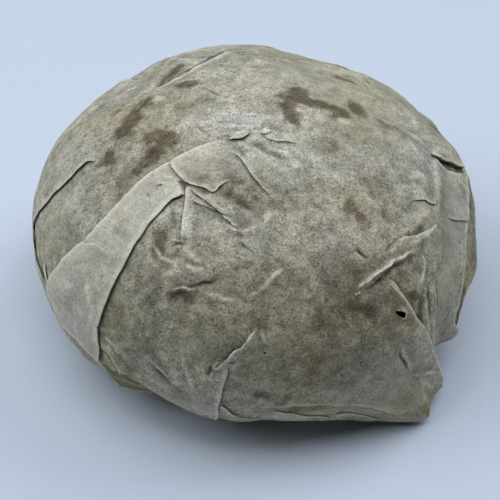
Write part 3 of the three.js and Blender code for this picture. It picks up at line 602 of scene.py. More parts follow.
def foldEffect(line, base):
    # lift along the normal, sideways shift, painted highlight of the rim and dark of the slit (painted
    # shadow; tea at pinholes) that one fold gives each point
    isLap = line["kind"] == "lap"
    reach = line["fade"] + creasing["pastLap"] if isLap else line["width"] * creasing["pastCrest"]
    low, high = line["points"].min(0) - reach, line["points"].max(0) + reach
    near = np.flatnonzero(((base > low) & (base < high)).all(1))
    lift, rim, slit = np.zeros((3, len(base)))
    shift = np.zeros((len(base), 3))
    for start in range(0, len(near), creasing["block"]):
        part = near[start:start + creasing["block"]]
        gaps = base[part][:, None, :] - line["points"][None]
        squared = (gaps ** 2).sum(2)
        closest = squared.argmin(1)
        rows = np.arange(len(part))
        distance = np.sqrt(squared[rows, closest])
        offset = (gaps[rows, closest] * line["side"][closest]).sum(1)
        if isLap:
            # past the line's end the offset shrinks, so the distance with the offset's sign is used
            beside = np.abs(offset) > creasing["sideways"] * distance
            signed = np.where(beside, offset, np.sign(offset) * distance)
            # a far point takes its height from a stretch of the line, so no step shows where it turns
            least = squared[rows, closest][:, None]
            weight = (least + creasing["nearGap"]) / (squared + creasing["nearGap"])
            weight = weight ** creasing["nearest"]
            taper = (weight * line["taper"]).sum(1) / weight.sum(1)
            profile = np.interp(signed, lapRows, lapHeight)
            plateau = lapHeight[0] * (1 - smooth((-signed + lapRows[0]) / line["fade"]))
            profile = np.where(signed < lapRows[0], plateau, profile)
            lift[part] = profile * taper * line["height"]
            mostShift = min(creasing["mostShift"], line["height"] / creasing["fullShift"])
            amount = np.interp(signed, lapRows, lapShift) * taper * mostShift
            shift[part] = line["side"][closest] * amount[:, None]
            strength = taper * min(1.0, line["height"] / creasing["fullRim"])
            rim[part] = np.interp(signed, lapRows, lapHighlight) * strength * line["rim"]
            stretched = np.where(signed > 0, signed * lapRows[-2] / line["shade"], signed)
            slit[part] = np.interp(stretched, lapRows, lapShadow) * strength * line["dark"]
        else:
            share = clamp01(1 - distance / line["width"])
            taper = line["taper"][closest]
            sign = 1 if line["kind"] == "ridge" else -1
            swell = 1 + creasing["crestSwell"] * (1 - share)
            lift[part] = sign * line["height"] * taper * share ** creasing["crestPower"] * swell
            rim[part] = sign * taper * share ** 2 * line["rim"]
            slit[part] = taper * share * line["dark"] if sign < 0 else 0
    return lift, shift, rim, slit


# the sheet's lower edge: azimuth and the distance from the crown
hem = [(0, 64.2), (20, 64.6), (39, 63.6), (60, 63.8), (80, 64.8), (106, 65.2), (108, 63.9), (132, 64.6),
       (134, 63.6), (160, 64.5), (195, 64.2), (212, 63.6), (224, 62.8), (229.4, 60.6), (237, 60.1),
       (241.5, 60.6), (245.5, 61.7), (254.7, 64.4), (260.9, 65.8), (261.6, 62.5), (266.5, 63.7),
       (271.7, 64.3), (280, 65.8), (289, 68.7), (295.7, 71.3), (301.3, 72.3), (306, 72.7), (309.5, 72.8),
       (312, 72.5), (313.5, 71.3), (316.5, 70.8), (320.6, 70.6), (321.4, 67), (323, 65), (326, 65),
       (329, 65.4), (331.5, 65.2), (334, 63.4), (338, 62.6), (345, 63.8), (360, 64.2)]

sheetMesh = {
    # mm between points, between the rows of folds and other points, and of the paper
    "fineStep": 0.54, "coarseStep": 1.1, "hemStep": 0.5, "keepOff": 0.3, "paperThickness": 0.12,
    "coarseFrom": 22, "coarseTo": 158, "coarseBelow": 33,      # behind, the mesh is coarser
    "rowShare": 0.87, "firstRow": 0.6, "lastRow": 74, "hemGap": 0.4, "pastHem": 1.2, "tolerance": 1e-5,
}
degreesInRadian = 57.3

tear = {
    # the torn hole's middle in the picture, its size in mm and its slant in degrees
    "seen": (399.6, 313.6), "length": 1.75, "width": 0.9, "slant": -38, "corners": 22,
    "ragged": 0.14, "finelyRagged": 0.1, "rings": (1.0, 1.25, 1.6),
    "lip": 0.6, "lipFrom": 0.6, "lipFade": 0.9, "lipTurn": 0.4, "lipTurnFade": 1.2,      # its raised side
}
# places where an under layer stands out or is missing: azimuth, reach, along, span, height
bulges = [(345, 12, 58.5, 9, 1.0), (332, 9, 66, 8, 1.4), (153, 30, 30, 20, -1.35), (22, 14, 41, 8, -0.3),
          (88, 40, 33, 14, -0.15), (46, 12, 36, 9, 0.1), (205, 14, 60, 9, -0.35)]


def hemAt(azimuth):
    return np.interp(np.asarray(azimuth) % 360, [p[0] for p in hem], [p[1] for p in hem])


def flatPoint(azimuth, along):
    return outwardAt(azimuth)[..., :2] * np.asarray(along)[..., None]


def ringPoints():
    # places all over the sheet, evenly spaced on the paper, coarser behind
    places = []
    for step, behind in ((sheetMesh["fineStep"], False), (sheetMesh["coarseStep"], True)):
        rows = np.arange(step * sheetMesh["firstRow"], sheetMesh["lastRow"], step * sheetMesh["rowShare"])
        for i, along in enumerate(rows):
            count = max(5, int(round(2 * np.pi * radiusAt(along) / step)))
            azimuth = (np.arange(count) + 0.5 * (i % 2)) * 360 / count
            isCoarse = ((azimuth > sheetMesh["coarseFrom"]) & (azimuth < sheetMesh["coarseTo"])
                        & (along > sheetMesh["coarseBelow"]))
            kept = azimuth[isCoarse == behind]
            kept = kept[along < hemAt(kept) - step * sheetMesh["hemGap"]]
            places.append(np.stack([kept, np.full(len(kept), along)], axis=1))
    return np.concatenate(places)


def tearRing(scale):
    # the edge of the torn hole, as places on the dome
    azimuth, along = seenOnDome([tear["seen"]])[0]
    turn = np.linspace(0, 2 * np.pi, tear["corners"], endpoint=False)
    ragged = 1 + tear["ragged"] * np.sin(3 * turn + 1) + tear["finelyRagged"] * np.sin(7 * turn)
    x = tear["width"] / 2 * np.cos(turn) * ragged * scale
    y = tear["length"] / 2 * np.sin(turn) * ragged * scale
    slant = math.radians(tear["slant"])
    across, down = x * math.cos(slant) - y * math.sin(slant), x * math.sin(slant) + y * math.cos(slant)
    return azimuth + np.degrees(across / radiusAt(along)), along + down


def insideOutline(points, outline):
    # which points lie inside a closed outline
    inside = np.zeros(len(points), bool)
    for (ax, ay), (bx, by) in zip(outline, np.roll(outline, -1, axis=0)):
        crosses = (ay > points[:, 1]) != (by > points[:, 1])
        if ay != by:
            inside ^= crosses & (points[:, 0] < ax + (points[:, 1] - ay) / (by - ay) * (bx - ax))
    return inside


def triangulateSheet():
    # the sheet laid flat, with an edge along every row of every fold and round the tear
    points, edges = [], []

    def addLine(azimuth, along, closed=False):
        start = len(points)
        points.extend(flatPoint(azimuth, along).tolist())
        last = start + len(azimuth) - 1
        edges.extend((i, i + 1) for i in range(start, last))
        if closed:
            edges.append((last, start))

    rim = np.arange(0, 360, sheetMesh["hemStep"] / dome["widestRadius"] * degreesInRadian)
    addLine(rim, hemAt(rim), closed=True)
    for scale in tear["rings"]:
        addLine(*tearRing(scale), closed=True)
    for line in foldLines:
        for azimuth, along in line["rows"]:
            inside = np.flatnonzero(along < hemAt(azimuth) + sheetMesh["pastHem"])
            if len(inside) > 1:
                addLine(azimuth[inside], along[inside])
    tree = kdtree.KDTree(len(points))
    for i, (u, v) in enumerate(points):
        tree.insert((u, v, 0), i)
    tree.balance()
    rings = ringPoints()
    for u, v in flatPoint(rings[:, 0], rings[:, 1]).tolist():
        if tree.find((u, v, 0))[2] > sheetMesh["keepOff"]:
            points.append((u, v))
    result = geometry.delaunay_2d_cdt([Vector(p) for p in points], edges, [], 1, sheetMesh["tolerance"])
    flat = np.array([(p.x, p.y) for p in result[0]])
    triangles = np.array([f for f in result[2] if len(f) == 3], int)
    triangles = triangles[~insideOutline(flat[triangles].mean(1), flatPoint(*tearRing(1.0)))]
    used = np.unique(triangles)
    renumber = np.full(len(flat), -1)
    renumber[used] = np.arange(len(used))
    return flat[used], renumber[triangles]


flat, sheetTriangles = triangulateSheet()
sheetAzimuth = np.degrees(np.arctan2(flat[:, 1], flat[:, 0])) % 360
sheetAlong = np.hypot(flat[:, 0], flat[:, 1])
sheetBase = paperPoint(sheetAzimuth, sheetAlong)
sheetNormal = paperAxes(sheetAzimuth, sheetAlong)[2]
print("sheet:", len(flat), "points,", len(sheetTriangles), "triangles")

# relief of the paper over the pressed leaves

relief = {
    # rolled leaves under the paper, their stems, the paper's own buckles, and its flat facets
    "leafSize": 3.1, "leafHeight": 0.13, "leafFlat": np.array([1, 1, 1.15]),
    "stemSize": 1.5, "stemHeight": 0.05, "buckleSize": 17.0, "buckleHeight": 0.22,
    "facetSize": 7.5, "facetHeight": 0.5, "smallFacetSize": 3.2, "smallFacetHeight": 0.24,
    "facetBendSize": 0.8, "facetBend": 0.3, "facetStep": 3.1, "facetDeep": 0.6,      # in facet sizes
    "plainShare": 0.45,                       # how crumpled the paper is where nothing says more
    "crownCalm": 4, "crownFade": 8,
    "reliefShadeRounds": 22, "reliefShadeSpan": 0.26,     # painted shade in the hollows, painted highlight on the crests: mm from hollow to crest
    "wrinkles": 260, "wrinkleHeight": 0.12, "wrinkleWidth": 0.5, "wrinkleLength": (2.5, 10),
    "wrinkleEnd": 66, "wrinkleSpread": (0.01, 0.95), "wrinkleBend": 0.12, "wrinkleHeights": (0.4, 1.3),
    "wrinkleSteps": 14, "wrinkleFirst": 3.0,
    "wrinkleSearch": (0.6, 1),                # a wrinkle is worked out within this share of its length and mm
    "bandSharp": 1.3, "bandSmooth": 0.75, "smoothCalm": 0.6, "smoothFine": 0.5,
}

# Strokes: the pixels that each follows, its half width in mm and its strength. The paper is crumpled
# or smooth there, stained by tea, darkened by tea and by painted shade, older and olive with painted light
# through it, cleaner and brighter with painted light, warmer in places and greyer in others, partly for
# the painted colour of the light.
strokes = {
    "crumpled": [([(158, 235), (178, 262)], 6.0, 0.8), ([(160, 188), (150, 200)], 3.5, 0.6),
        ([(106, 338), (118, 368)], 3.5, 1.0), ([(225, 195), (250, 210)], 5.0, 0.8),
        ([(405, 180), (425, 215)], 6.0, 0.7), ([(405, 232), (428, 250)], 5.0, 0.8),
        ([(165, 360), (192, 392)], 5.0, 0.6), ([(265, 128), (292, 150)], 5.0, 0.6),
        ([(385, 280), (410, 268)], 4.0, 0.8), ([(410, 350), (430, 392)], 4.0, 0.7),
        ([(280, 410), (390, 415)], 3.0, 0.5), ([(380, 125), (420, 145)], 4.0, 0.6),
        ([(190, 272), (230, 262)], 4.0, 0.6), ([(430, 270), (440, 330)], 3.0, 0.6)],
    "smooth": [([(450, 190), (450, 245), (445, 300)], 3.2, 0.9), ([(150, 395), (200, 405)], 3.0, 0.6),
        ([(270, 414), (400, 420)], 2.0, 0.8), ([(405, 372), (425, 400)], 4.0, 0.7),
        ([(350, 395), (400, 400)], 4.0, 0.5), ([(60, 200), (55, 240)], 4.0, 0.4),
        ([(395, 96), (420, 115), (445, 140)], 4.5, 1.0), ([(290, 70), (340, 90), (380, 125)], 7.0, 0.5)],
    "stains": [([(190, 169), (206, 168), (222, 173)], 2.6, 0.4),
        ([(228, 183), (238, 190), (247, 201)], 3.0, 0.42),
        ([(298, 94), (290, 99), (288, 107), (291, 114)], 2.1, 1.1),
        ([(281, 98), (290, 96), (303, 92)], 1.5, 0.95),
        ([(303, 101), (315, 104), (327, 107), (339, 113)], 1.8, 1.0), ([(353, 105), (357, 110)], 1.8, 1.0),
        ([(382, 123), (389, 127)], 1.2, 0.6), ([(350.5, 207), (355, 213), (359.5, 220)], 1.45, 1.15),
        ([(382, 209), (386, 220)], 1.1, 0.8), ([(371, 184), (379, 183)], 1.3, 0.4),
        ([(349, 196), (353, 200)], 1.0, 0.3), ([(333, 134), (331, 142), (330.5, 152)], 1.0, 0.4),
        ([(338, 77), (348, 79.5)], 1.1, 0.8), ([(180, 83.5), (186, 83), (192, 84)], 1.4, 1.0),
        ([(193, 85), (205, 82)], 0.7, 0.5), ([(160, 81), (170, 74), (180, 67)], 1.5, 0.95),
        ([(200, 58), (212, 57)], 0.8, 0.7), ([(147, 99), (139, 111), (131, 122)], 1.9, 0.95),
        ([(137, 121), (130, 128), (122, 135)], 1.8, 1.0), ([(128, 98), (120, 104), (112, 112)], 0.9, 0.6),
        ([(112, 152), (113, 159), (109, 163)], 1.6, 1.0), ([(119, 148), (128, 142)], 0.8, 0.5),
        ([(108, 105), (128, 96)], 0.8, 0.6), ([(153, 136), (164, 137), (168, 144)], 2.0, 1.0),
        ([(165, 143), (153, 154), (136, 169)], 2.0, 0.95), ([(133, 168), (121, 181)], 1.6, 0.6),
        ([(161, 240), (163, 251)], 1.8, 0.8), ([(156, 250), (163, 256)], 1.5, 0.5),
        ([(263, 392), (269, 397)], 1.3, 0.8), ([(281, 400), (288, 397)], 1.0, 0.75),
        ([(344, 296), (335, 308), (331, 318)], 3.2, 0.5), ([(354, 304), (361, 308), (367, 312)], 2.2, 0.9),
        ([(174, 297), (184, 295)], 1.9, 0.8), ([(154, 296), (163, 294)], 1.8, 0.45),
        ([(399, 272), (404, 279), (402, 285)], 1.1, 0.5), ([(413, 297), (420, 303), (420, 314)], 0.9, 0.95),
        ([(239, 203), (249, 208)], 1.1, 0.6), ([(421, 290), (422, 300)], 0.6, 0.6),
        ([(230, 178), (226, 190)], 1.2, 0.4), ([(234, 200), (246, 207)], 1.5, 0.4),
        ([(116, 282), (119, 279)], 0.5, 0.4), ([(106, 277), (106.5, 278.5)], 0.35, 0.8),
        ([(118.5, 211), (119.5, 212)], 0.3, 0.9), ([(69, 188), (70, 189)], 0.35, 0.8),
        ([(252, 55), (256, 55.5)], 0.6, 0.45), ([(248, 64), (255, 65)], 0.8, 0.3),
        ([(374, 99), (375, 103)], 0.4, 0.6), ([(200, 240), (207, 246)], 0.9, 0.3),
        ([(277, 88), (280, 86)], 0.7, 0.4), ([(336, 92), (340, 90)], 0.8, 0.35)],
    # tea seepage, and painted shade: the wide strokes low on the front darken the wall where less light falls
    "soakedAndShaded": [([(463, 286), (456.5, 311), (450.5, 333)], 0.8, 0.9),
        ([(400, 100), (425, 120), (448, 142)], 3.6, 0.4), ([(345, 280), (342, 300), (334, 315)], 4.5, 1.0),
        ([(325, 300), (340, 318)], 4.0, 0.8), ([(155, 300), (185, 302)], 3.0, 0.8),
        ([(286, 212), (292, 218)], 2.0, 0.6), ([(245, 268), (256, 272)], 3.0, 0.7),
        ([(296, 252), (304, 260)], 2.5, 0.6), ([(160, 258), (170, 266)], 2.0, 0.5),
        ([(187, 250), (193, 256)], 2.0, 0.6), ([(190, 340), (200, 352)], 4.0, 0.6),
        ([(120, 300), (180, 325), (260, 330), (330, 325)], 11.0, 0.65),
        ([(295, 310), (305, 325)], 4.0, 0.5), ([(436, 130), (448, 142), (456, 151), (461, 161)], 1.3, 0.7),
        ([(95, 340), (115, 375)], 4.0, 0.4), ([(120, 262), (150, 300), (120, 335)], 6.0, 0.3),
        ([(160, 320), (195, 345)], 7.0, 0.4), ([(322, 300), (345, 305)], 5.0, 0.6),
        ([(240, 262), (258, 272)], 4.0, 0.4), ([(295, 250), (305, 262)], 3.0, 0.3),
        ([(185, 248), (192, 252)], 2.5, 0.4), ([(440, 160), (450, 167.5), (458, 171)], 1.0, 1.0),
        ([(468, 180), (471, 220), (471, 262)], 1.5, 0.6), ([(270, 320), (300, 340), (290, 362)], 7.0, 0.45),
        ([(232, 160), (226, 152)], 3.0, 0.3), ([(330, 165), (335, 200)], 4.0, 0.3),
        ([(155, 255), (185, 255)], 2.0, 0.3), ([(300, 302), (345, 305), (378, 318)], 7.0, 0.7),
        ([(185, 345), (203, 335)], 5.0, 0.5), ([(228, 328), (246, 329)], 4.5, 0.45),
        ([(110, 335), (140, 325), (170, 332)], 5.0, 0.4), ([(182, 281), (215, 281)], 2.6, 0.6),
        ([(250, 268), (262, 276)], 4.0, 0.35), ([(372, 256), (386, 272)], 4.0, 0.5),
        ([(285, 355), (325, 372)], 6.0, 0.4), ([(392, 385), (420, 375)], 4.5, 0.35),
        ([(421, 312), (430, 328)], 2.0, 0.5), ([(84, 118), (132, 108)], 5.0, 0.35),
        ([(330, 98), (378, 122)], 5.0, 0.25), ([(432, 300), (430, 330)], 1.6, 0.4),
        ([(222, 185), (250, 200), (262, 222)], 6.0, 0.75), ([(190, 168), (225, 172)], 5.0, 0.45),
        ([(120, 330), (150, 300), (190, 300)], 6.0, 0.5), ([(150, 270), (200, 290), (225, 280)], 6.0, 0.35),
        ([(300, 292), (350, 300), (366, 318)], 8.0, 0.75), ([(290, 350), (350, 365)], 7.0, 0.6),
        ([(385, 255), (405, 275)], 4.0, 0.5), ([(150, 235), (160, 250)], 4.0, 0.5),
        ([(300, 200), (330, 200)], 6.0, 0.35), ([(345, 175), (395, 205)], 7.0, 0.3),
        ([(150, 345), (215, 350)], 6.0, 0.35), ([(250, 262), (300, 285)], 6.0, 0.3),
        ([(140, 150), (125, 175)], 6.0, 0.35), ([(245, 355), (260, 385)], 6.0, 0.3)],
    # older, yellower paper, and painted light: the olive of thin edges with light shining through them
    "agedBacklit": [([(467.5, 176), (470, 220), (469, 262)], 2.2, 0.25),
        ([(463, 288), (456.5, 312), (450, 334)], 1.0, 1.0),
        ([(436, 128), (448, 140), (456, 149), (461, 158), (463, 166)], 2.0, 1.0),
        ([(440, 381), (434, 392), (428, 405), (424, 418)], 1.3, 0.6), ([(450, 168), (440, 160)], 1.2, 0.5),
        ([(374, 180), (380, 185)], 2.0, 0.5), ([(331, 148), (333, 150)], 2.4, 0.5),
        ([(185, 110), (195, 108)], 2.4, 0.4), ([(40, 240), (44, 275)], 0.8, 0.5),
        ([(70, 333), (90, 352)], 0.7, 0.6), ([(255, 55), (330, 60)], 4.0, 0.3),
        ([(395, 300), (410, 312)], 2.5, 0.5)],
    # cleaner paper, and painted light: facets that face the lamps are brightened
    "cleanAndLit": [([(258, 232), (270, 246)], 3.0, 1.0), ([(120, 232), (148, 224), (160, 210)], 3.6, 0.9),
        ([(247, 198), (262, 200)], 1.6, 0.8), ([(375, 172), (390, 190)], 3.0, 0.7),
        ([(92, 250), (112, 262)], 3.0, 0.7), ([(228, 212), (256, 230)], 3.0, 0.6),
        ([(375, 410), (425, 412)], 3.0, 0.8), ([(415, 350), (428, 395)], 3.5, 0.7),
        ([(446, 270), (446, 290)], 2.0, 0.6), ([(222, 177), (236, 173)], 2.6, 0.9),
        ([(200, 205), (212, 214)], 2.6, 0.7), ([(350, 344), (362, 354)], 3.0, 0.5),
        ([(345, 350), (360, 352)], 4.0, 0.4), ([(400, 330), (425, 375), (415, 405)], 6.0, 0.6),
        ([(350, 380), (380, 398)], 6.0, 0.5), ([(215, 385), (255, 395)], 4.5, 0.6),
        ([(455, 190), (455, 250)], 2.5, 0.5), ([(125, 232), (150, 213), (172, 205)], 4.0, 0.5),
        ([(205, 212), (235, 222)], 3.0, 0.4), ([(255, 232), (280, 240)], 4.0, 0.5),
        ([(222, 178), (236, 172)], 2.5, 0.7), ([(280, 190), (310, 190)], 3.0, 0.3),
        ([(395, 212), (415, 203)], 3.0, 0.4), ([(412, 138), (430, 150)], 2.5, 0.5),
        ([(322, 262), (330, 282)], 3.0, 0.4), ([(248, 240), (266, 232), (287, 230)], 4.5, 0.8),
        ([(262, 224), (300, 206)], 2.8, 0.5), ([(330, 250), (346, 240)], 4.0, 0.4),
        ([(408, 150), (426, 166)], 4.0, 0.5), ([(234, 172), (246, 177)], 2.2, 0.6),
        ([(182, 268), (198, 270)], 1.3, 0.8), ([(162, 275), (174, 276)], 2.0, 0.6),
        ([(192, 205), (200, 222)], 3.2, 0.5), ([(95, 255), (112, 268)], 3.0, 0.5),
        ([(205, 298), (236, 304)], 2.0, 0.4), ([(262, 412), (330, 413), (395, 417)], 1.3, 0.8),
        ([(150, 393), (210, 412)], 2.0, 0.5), ([(205, 125), (245, 124)], 4.0, 0.6),
        ([(345, 180), (365, 230)], 6.0, 0.6), ([(265, 140), (285, 160)], 3.0, 0.5),
        ([(350, 155), (364, 158)], 3.0, 0.6)],
    # warmer paper low down, partly the painted colour of the warmer light there
    "cream": [([(345, 305), (385, 295), (400, 276)], 5.0, 0.4),
        ([(322, 345), (316, 370), (300, 396)], 6.0, 0.7), ([(300, 412), (420, 412)], 3.0, 0.8),
        ([(120, 380), (150, 396)], 4.0, 0.8), ([(270, 412), (300, 413)], 2.0, 0.4),
        ([(105, 350), (125, 384)], 3.0, 0.7), ([(446, 333), (466, 292)], 2.6, 0.8),
        ([(462, 270), (468, 282)], 2.0, 0.6), ([(355, 320), (385, 318)], 5.0, 0.5),
        ([(415, 395), (428, 410)], 3.0, 0.6), ([(110, 120), (170, 135)], 6.0, 0.5),
        ([(130, 160), (123, 186)], 5.0, 0.4), ([(160, 85), (190, 85)], 4.0, 0.3),
        ([(245, 84), (256, 96)], 4.0, 0.3), ([(345, 85), (356, 120)], 4.0, 0.35),
        ([(345, 212), (375, 250), (372, 295)], 6.0, 0.4), ([(160, 240), (165, 256)], 3.0, 0.5)],
    # greyer, bluer patches, partly the painted colour of the cooler light from above
    "cool": [([(362, 165), (382, 176)], 5.0, 1.0), ([(430, 180), (455, 200), (450, 225)], 5.5, 0.9),
        ([(400, 165), (430, 175)], 5.0, 0.6), ([(200, 125), (250, 130)], 6.0, 0.5),
        ([(190, 200), (205, 245)], 7.0, 0.45), ([(230, 215), (262, 236)], 5.0, 0.4),
        ([(60, 155), (75, 170)], 5.0, 0.5), ([(60, 230), (100, 250)], 6.0, 0.2),
        ([(100, 105), (140, 80), (180, 65)], 4.0, 0.5), ([(312, 222), (330, 262)], 4.0, 0.5),
        ([(350, 350), (400, 385)], 6.0, 0.5), ([(200, 400), (250, 412)], 4.0, 0.5)],
}
strokeEdge = {
    "stray": 1.1, "straySize": 2.4,            # mm that a stroke's outline strays
    "wobbles": ((0.5, 2.8, 8), (0.35, 1.3, 9)),      # how much its width changes, over how many mm
    # at 1 a stroke fades from its middle; below 1 it stays full longer, and above 1 it is fainter and wider
    "soft": {"crumpled": 1.0, "smooth": 1.0, "stains": 1.25, "soakedAndShaded": 1.6, "agedBacklit": 0.7, "cleanAndLit": 1.4,
             "cream": 1.8, "cool": 1.8},
    "dryBand": 0.7, "freshBand": 0.9,          # the folded margin is drier and cleaner
}


def cellsAt(points, size, seed):
    # how far each point is from the border of its cell: flat facets with folds between them
    bend = noises(points, size * relief["facetBendSize"], range(seed, seed + 3)) * size * relief["facetBend"]
    scaled = (points + bend) / size + seed * relief["facetStep"]
    distances = np.array([noise.voronoi(Vector(p))[0][:2] for p in scaled])
    return np.minimum(distances[:, 1] - distances[:, 0], relief["facetDeep"])


def leafRelief(points, crumpled):
    leaves = noiseAt(points * relief["leafFlat"], relief["leafSize"], 1) * relief["leafHeight"]
    stems = noiseAt(points, relief["stemSize"], 2) * relief["stemHeight"]
    buckle = noiseAt(points, relief["buckleSize"], 4) * relief["buckleHeight"]
    facets = cellsAt(points, relief["facetSize"], 5) - cellsAt(points, relief["facetSize"], 6)
    small = cellsAt(points, relief["smallFacetSize"], 7) * relief["smallFacetHeight"]
    return leaves + stems + buckle + (facets * relief["facetHeight"] + small) * crumpled


def randomWrinkles(base):
    # short fine creases in any direction, the same each run
    lift = np.zeros(len(base))
    bendMost = relief["wrinkleBend"]
    for _ in range(relief["wrinkles"]):
        azimuth = rng.uniform(0, 360)
        along = relief["wrinkleEnd"] * math.sqrt(rng.uniform(*relief["wrinkleSpread"]))
        heading = rng.uniform(0, 2 * math.pi)
        bend = rng.uniform(-bendMost, bendMost)
        length = rng.uniform(*relief["wrinkleLength"])
        height = relief["wrinkleHeight"] * rng.uniform(*relief["wrinkleHeights"]) * rng.choice([-1, 1])
        steps = np.linspace(-0.5, 0.5, relief["wrinkleSteps"]) * length
        radius = max(relief["wrinkleFirst"], float(radiusAt(along)))
        turn = heading + bend * steps
        lineAzimuth = azimuth + np.degrees(steps * np.cos(turn) / radius)
        line = paperPoint(lineAzimuth, np.maximum(1, along + steps * np.sin(turn)))
        searched, margin = relief["wrinkleSearch"]
        near = np.flatnonzero(np.linalg.norm(base - line.mean(0), axis=1) < length * searched + margin)
        if len(near) == 0:
            continue
        gaps = np.linalg.norm(base[near][:, None] - line[None], axis=2)
        share = clamp01(1 - gaps.min(1) / relief["wrinkleWidth"])
        lift[near] += height * share * smooth(1 - np.abs(steps[gaps.argmin(1)]) / (length * 0.5))
    return lift


def alongStroke(stroke, points):
    # the distance of each point from a stroke
    places = seenOnDome(stroke)
    ends = paperPoint(places[:, 0], places[:, 1])
    nearest = np.full(len(points), np.inf)
    for a, b in zip(ends[:-1], ends[1:]):
        t = clamp01(((points - a) @ (b - a)) / max(((b - a) ** 2).sum(), 1e-6))
        nearest = np.minimum(nearest, np.linalg.norm(points - (a + t[:, None] * (b - a)), axis=1))
    return nearest


wobbles = [amount * noiseAt(sheetBase, size, seed) for amount, size, seed in strokeEdge["wobbles"]]
strokeWobble = sum(wobbles, 1)
strayedBase = sheetBase + strokeEdge["stray"] * noises(sheetBase, strokeEdge["straySize"], (51, 52, 53))


def strokesAt(name):
    soft = strokeEdge["soft"][name]
    field = np.zeros(len(sheetBase))
    for stroke, width, strength in strokes[name]:
        share = alongStroke(stroke, strayedBase) / (width * strokeWobble)
        field = np.maximum(field, strength * smooth((1 + soft / 2 - share) / soft))
    return field


def blurred(values, triangles, rounds):
    # the mean round each point of the sheet, a little wider with every round
    pairs = np.concatenate([triangles[:, [0, 1]], triangles[:, [1, 2]], triangles[:, [2, 0]]])
    pairs = np.concatenate([pairs, pairs[:, ::-1]])
    counts = np.bincount(pairs[:, 0], minlength=len(values))
    for _ in range(rounds):
        around = np.bincount(pairs[:, 0], weights=values[pairs[:, 1]], minlength=len(values)) / counts
        values = (values + around) / 2
    return values


sheetLift, paintedHighlightField, shadowAndHoleField, paintedFurrowShade = np.zeros((4, len(flat)))
sheetShift = np.zeros((len(flat), 3))
for line in foldLines:
    lift, shift, rim, slit = foldEffect(line, sheetBase)
    sheetLift += lift
    sheetShift += shift
    # painted shade along furrows, painted highlight on edges, painted shadow under them
    paintedFurrowShade = np.maximum(paintedFurrowShade, -rim)
    paintedHighlightField = np.maximum(paintedHighlightField, rim)
    shadowAndHoleField = np.maximum(shadowAndHoleField, slit)
    if line["name"] == "band":
        bandField = smooth(lift / line["height"] * relief["bandSharp"])

smoothField = np.maximum(bandField * relief["bandSmooth"], strokesAt("smooth"))
calm = 1 - relief["smoothCalm"] * smoothField
crumpledField = np.maximum(relief["plainShare"], strokesAt("crumpled")) * calm
pastCrown = smooth((sheetAlong + relief["crownCalm"]) / relief["crownFade"])
sheetLift += leafRelief(sheetBase, crumpledField) * pastCrown
sheetLift += randomWrinkles(sheetBase) * (1 - relief["smoothFine"] * smoothField)
# painted shade and highlight: the relief's hollows are darkened, its crests lightened
paintedReliefShading = clamp01((sheetLift - blurred(sheetLift, sheetTriangles, relief["reliefShadeRounds"]))
                     / relief["reliefShadeSpan"] + 0.5) * 2 - 1
paintedReliefShading *= 1 - relief["smoothFine"] * smoothField
for at, reach, low, span, height in bulges:
    offAzimuth = (sheetAzimuth - at + 180) % 360 - 180
    sheetLift += height * hump(offAzimuth, 0, reach) * hump(sheetAlong, low, span)
tearAzimuth, tearAlong = seenOnDome([tear["seen"]])[0]
tearGap = np.linalg.norm(sheetBase - paperPoint(tearAzimuth, tearAlong), axis=1)
tearLip = (smooth(1 - (tearGap - tear["lipFrom"]) / tear["lipFade"])
           * smooth((sheetAzimuth - tearAzimuth + tear["lipTurn"]) / tear["lipTurnFade"]))
sheetLift += tear["lip"] * tearLip
# the tear's raised lip gets a painted highlight
paintedHighlightField = np.maximum(paintedHighlightField, tearLip)
sheetPoints = (sheetBase + sheetNormal * sheetLift[:, None] + sheetShift
               + outwardAt(sheetAzimuth) * earPush(sheetAzimuth, sheetAlong)[:, None])
print("sheet shaped")

# behind, the same kind of stains by chance: where they begin and fade, their sizes and how full they are
backStains = {
    "from": 15, "to": 165, "fade": 20, "below": 37, "belowFade": 5, "sizes": (6.0, 2.6), "fineShare": 0.5,
    "start": 0.34, "edge": 0.2, "strength": 0.8,
}


def backStainsAt(points, azimuth, along):
    behind = (smooth((azimuth - backStains["from"]) / backStains["fade"])
              * smooth((backStains["to"] - azimuth) / backStains["fade"]))
    behind = behind * smooth((along - backStains["below"]) / backStains["belowFade"])
    large, fine = [noiseAt(points, size, seed) for size, seed in zip(backStains["sizes"], (9, 10))]
    patches = large + backStains["fineShare"] * fine
    return behind * smooth((patches - backStains["start"]) / backStains["edge"]) * backStains["strength"]


backStain = backStainsAt(sheetBase, sheetAzimuth, sheetAlong)
fields = {   # what the paper's material reads at each point
    "stain": np.maximum(strokesAt("stains"), backStain),
    "soakAndShade": strokesAt("soakedAndShaded") * (1 - strokeEdge["dryBand"] * bandField),
    "agedBacklit": strokesAt("agedBacklit"),
    "cleanAndLit": np.maximum(strokesAt("cleanAndLit"), bandField * strokeEdge["freshBand"]),
    "cream": strokesAt("cream"), "cool": strokesAt("cool"),
    "smooth": smoothField, "furrow": paintedFurrowShade, "rim": paintedHighlightField, "slit": shadowAndHoleField, "crest": paintedReliefShading,
}
print("stains placed")

# materials


def addNode(tree, kind, links=None, **settings):
    # adds a node: `links` holds its inputs, by name or index, and `settings` its properties
    node = tree.nodes.new(kind)
    for key, value in settings.items():
        setattr(node, key, value)
    for socket, value in (links or {}).items():
        if isinstance(value, bpy.types.NodeSocket):
            tree.links.new(value, node.inputs[socket])
        else:
            node.inputs[socket].default_value = value
    return node


def newMaterial(name):
    material = bpy.data.materials.new(name)
    material.use_nodes = True
    tree = material.node_tree
    tree.nodes.clear()
    shader = addNode(tree, "ShaderNodeBsdfPrincipled")
    output = addNode(tree, "ShaderNodeOutputMaterial")
    tree.links.new(shader.outputs[0], output.inputs[0])
    return material, tree, shader


def perMetre(sizeInMm):
    return 1 / (sizeInMm * millimetre)


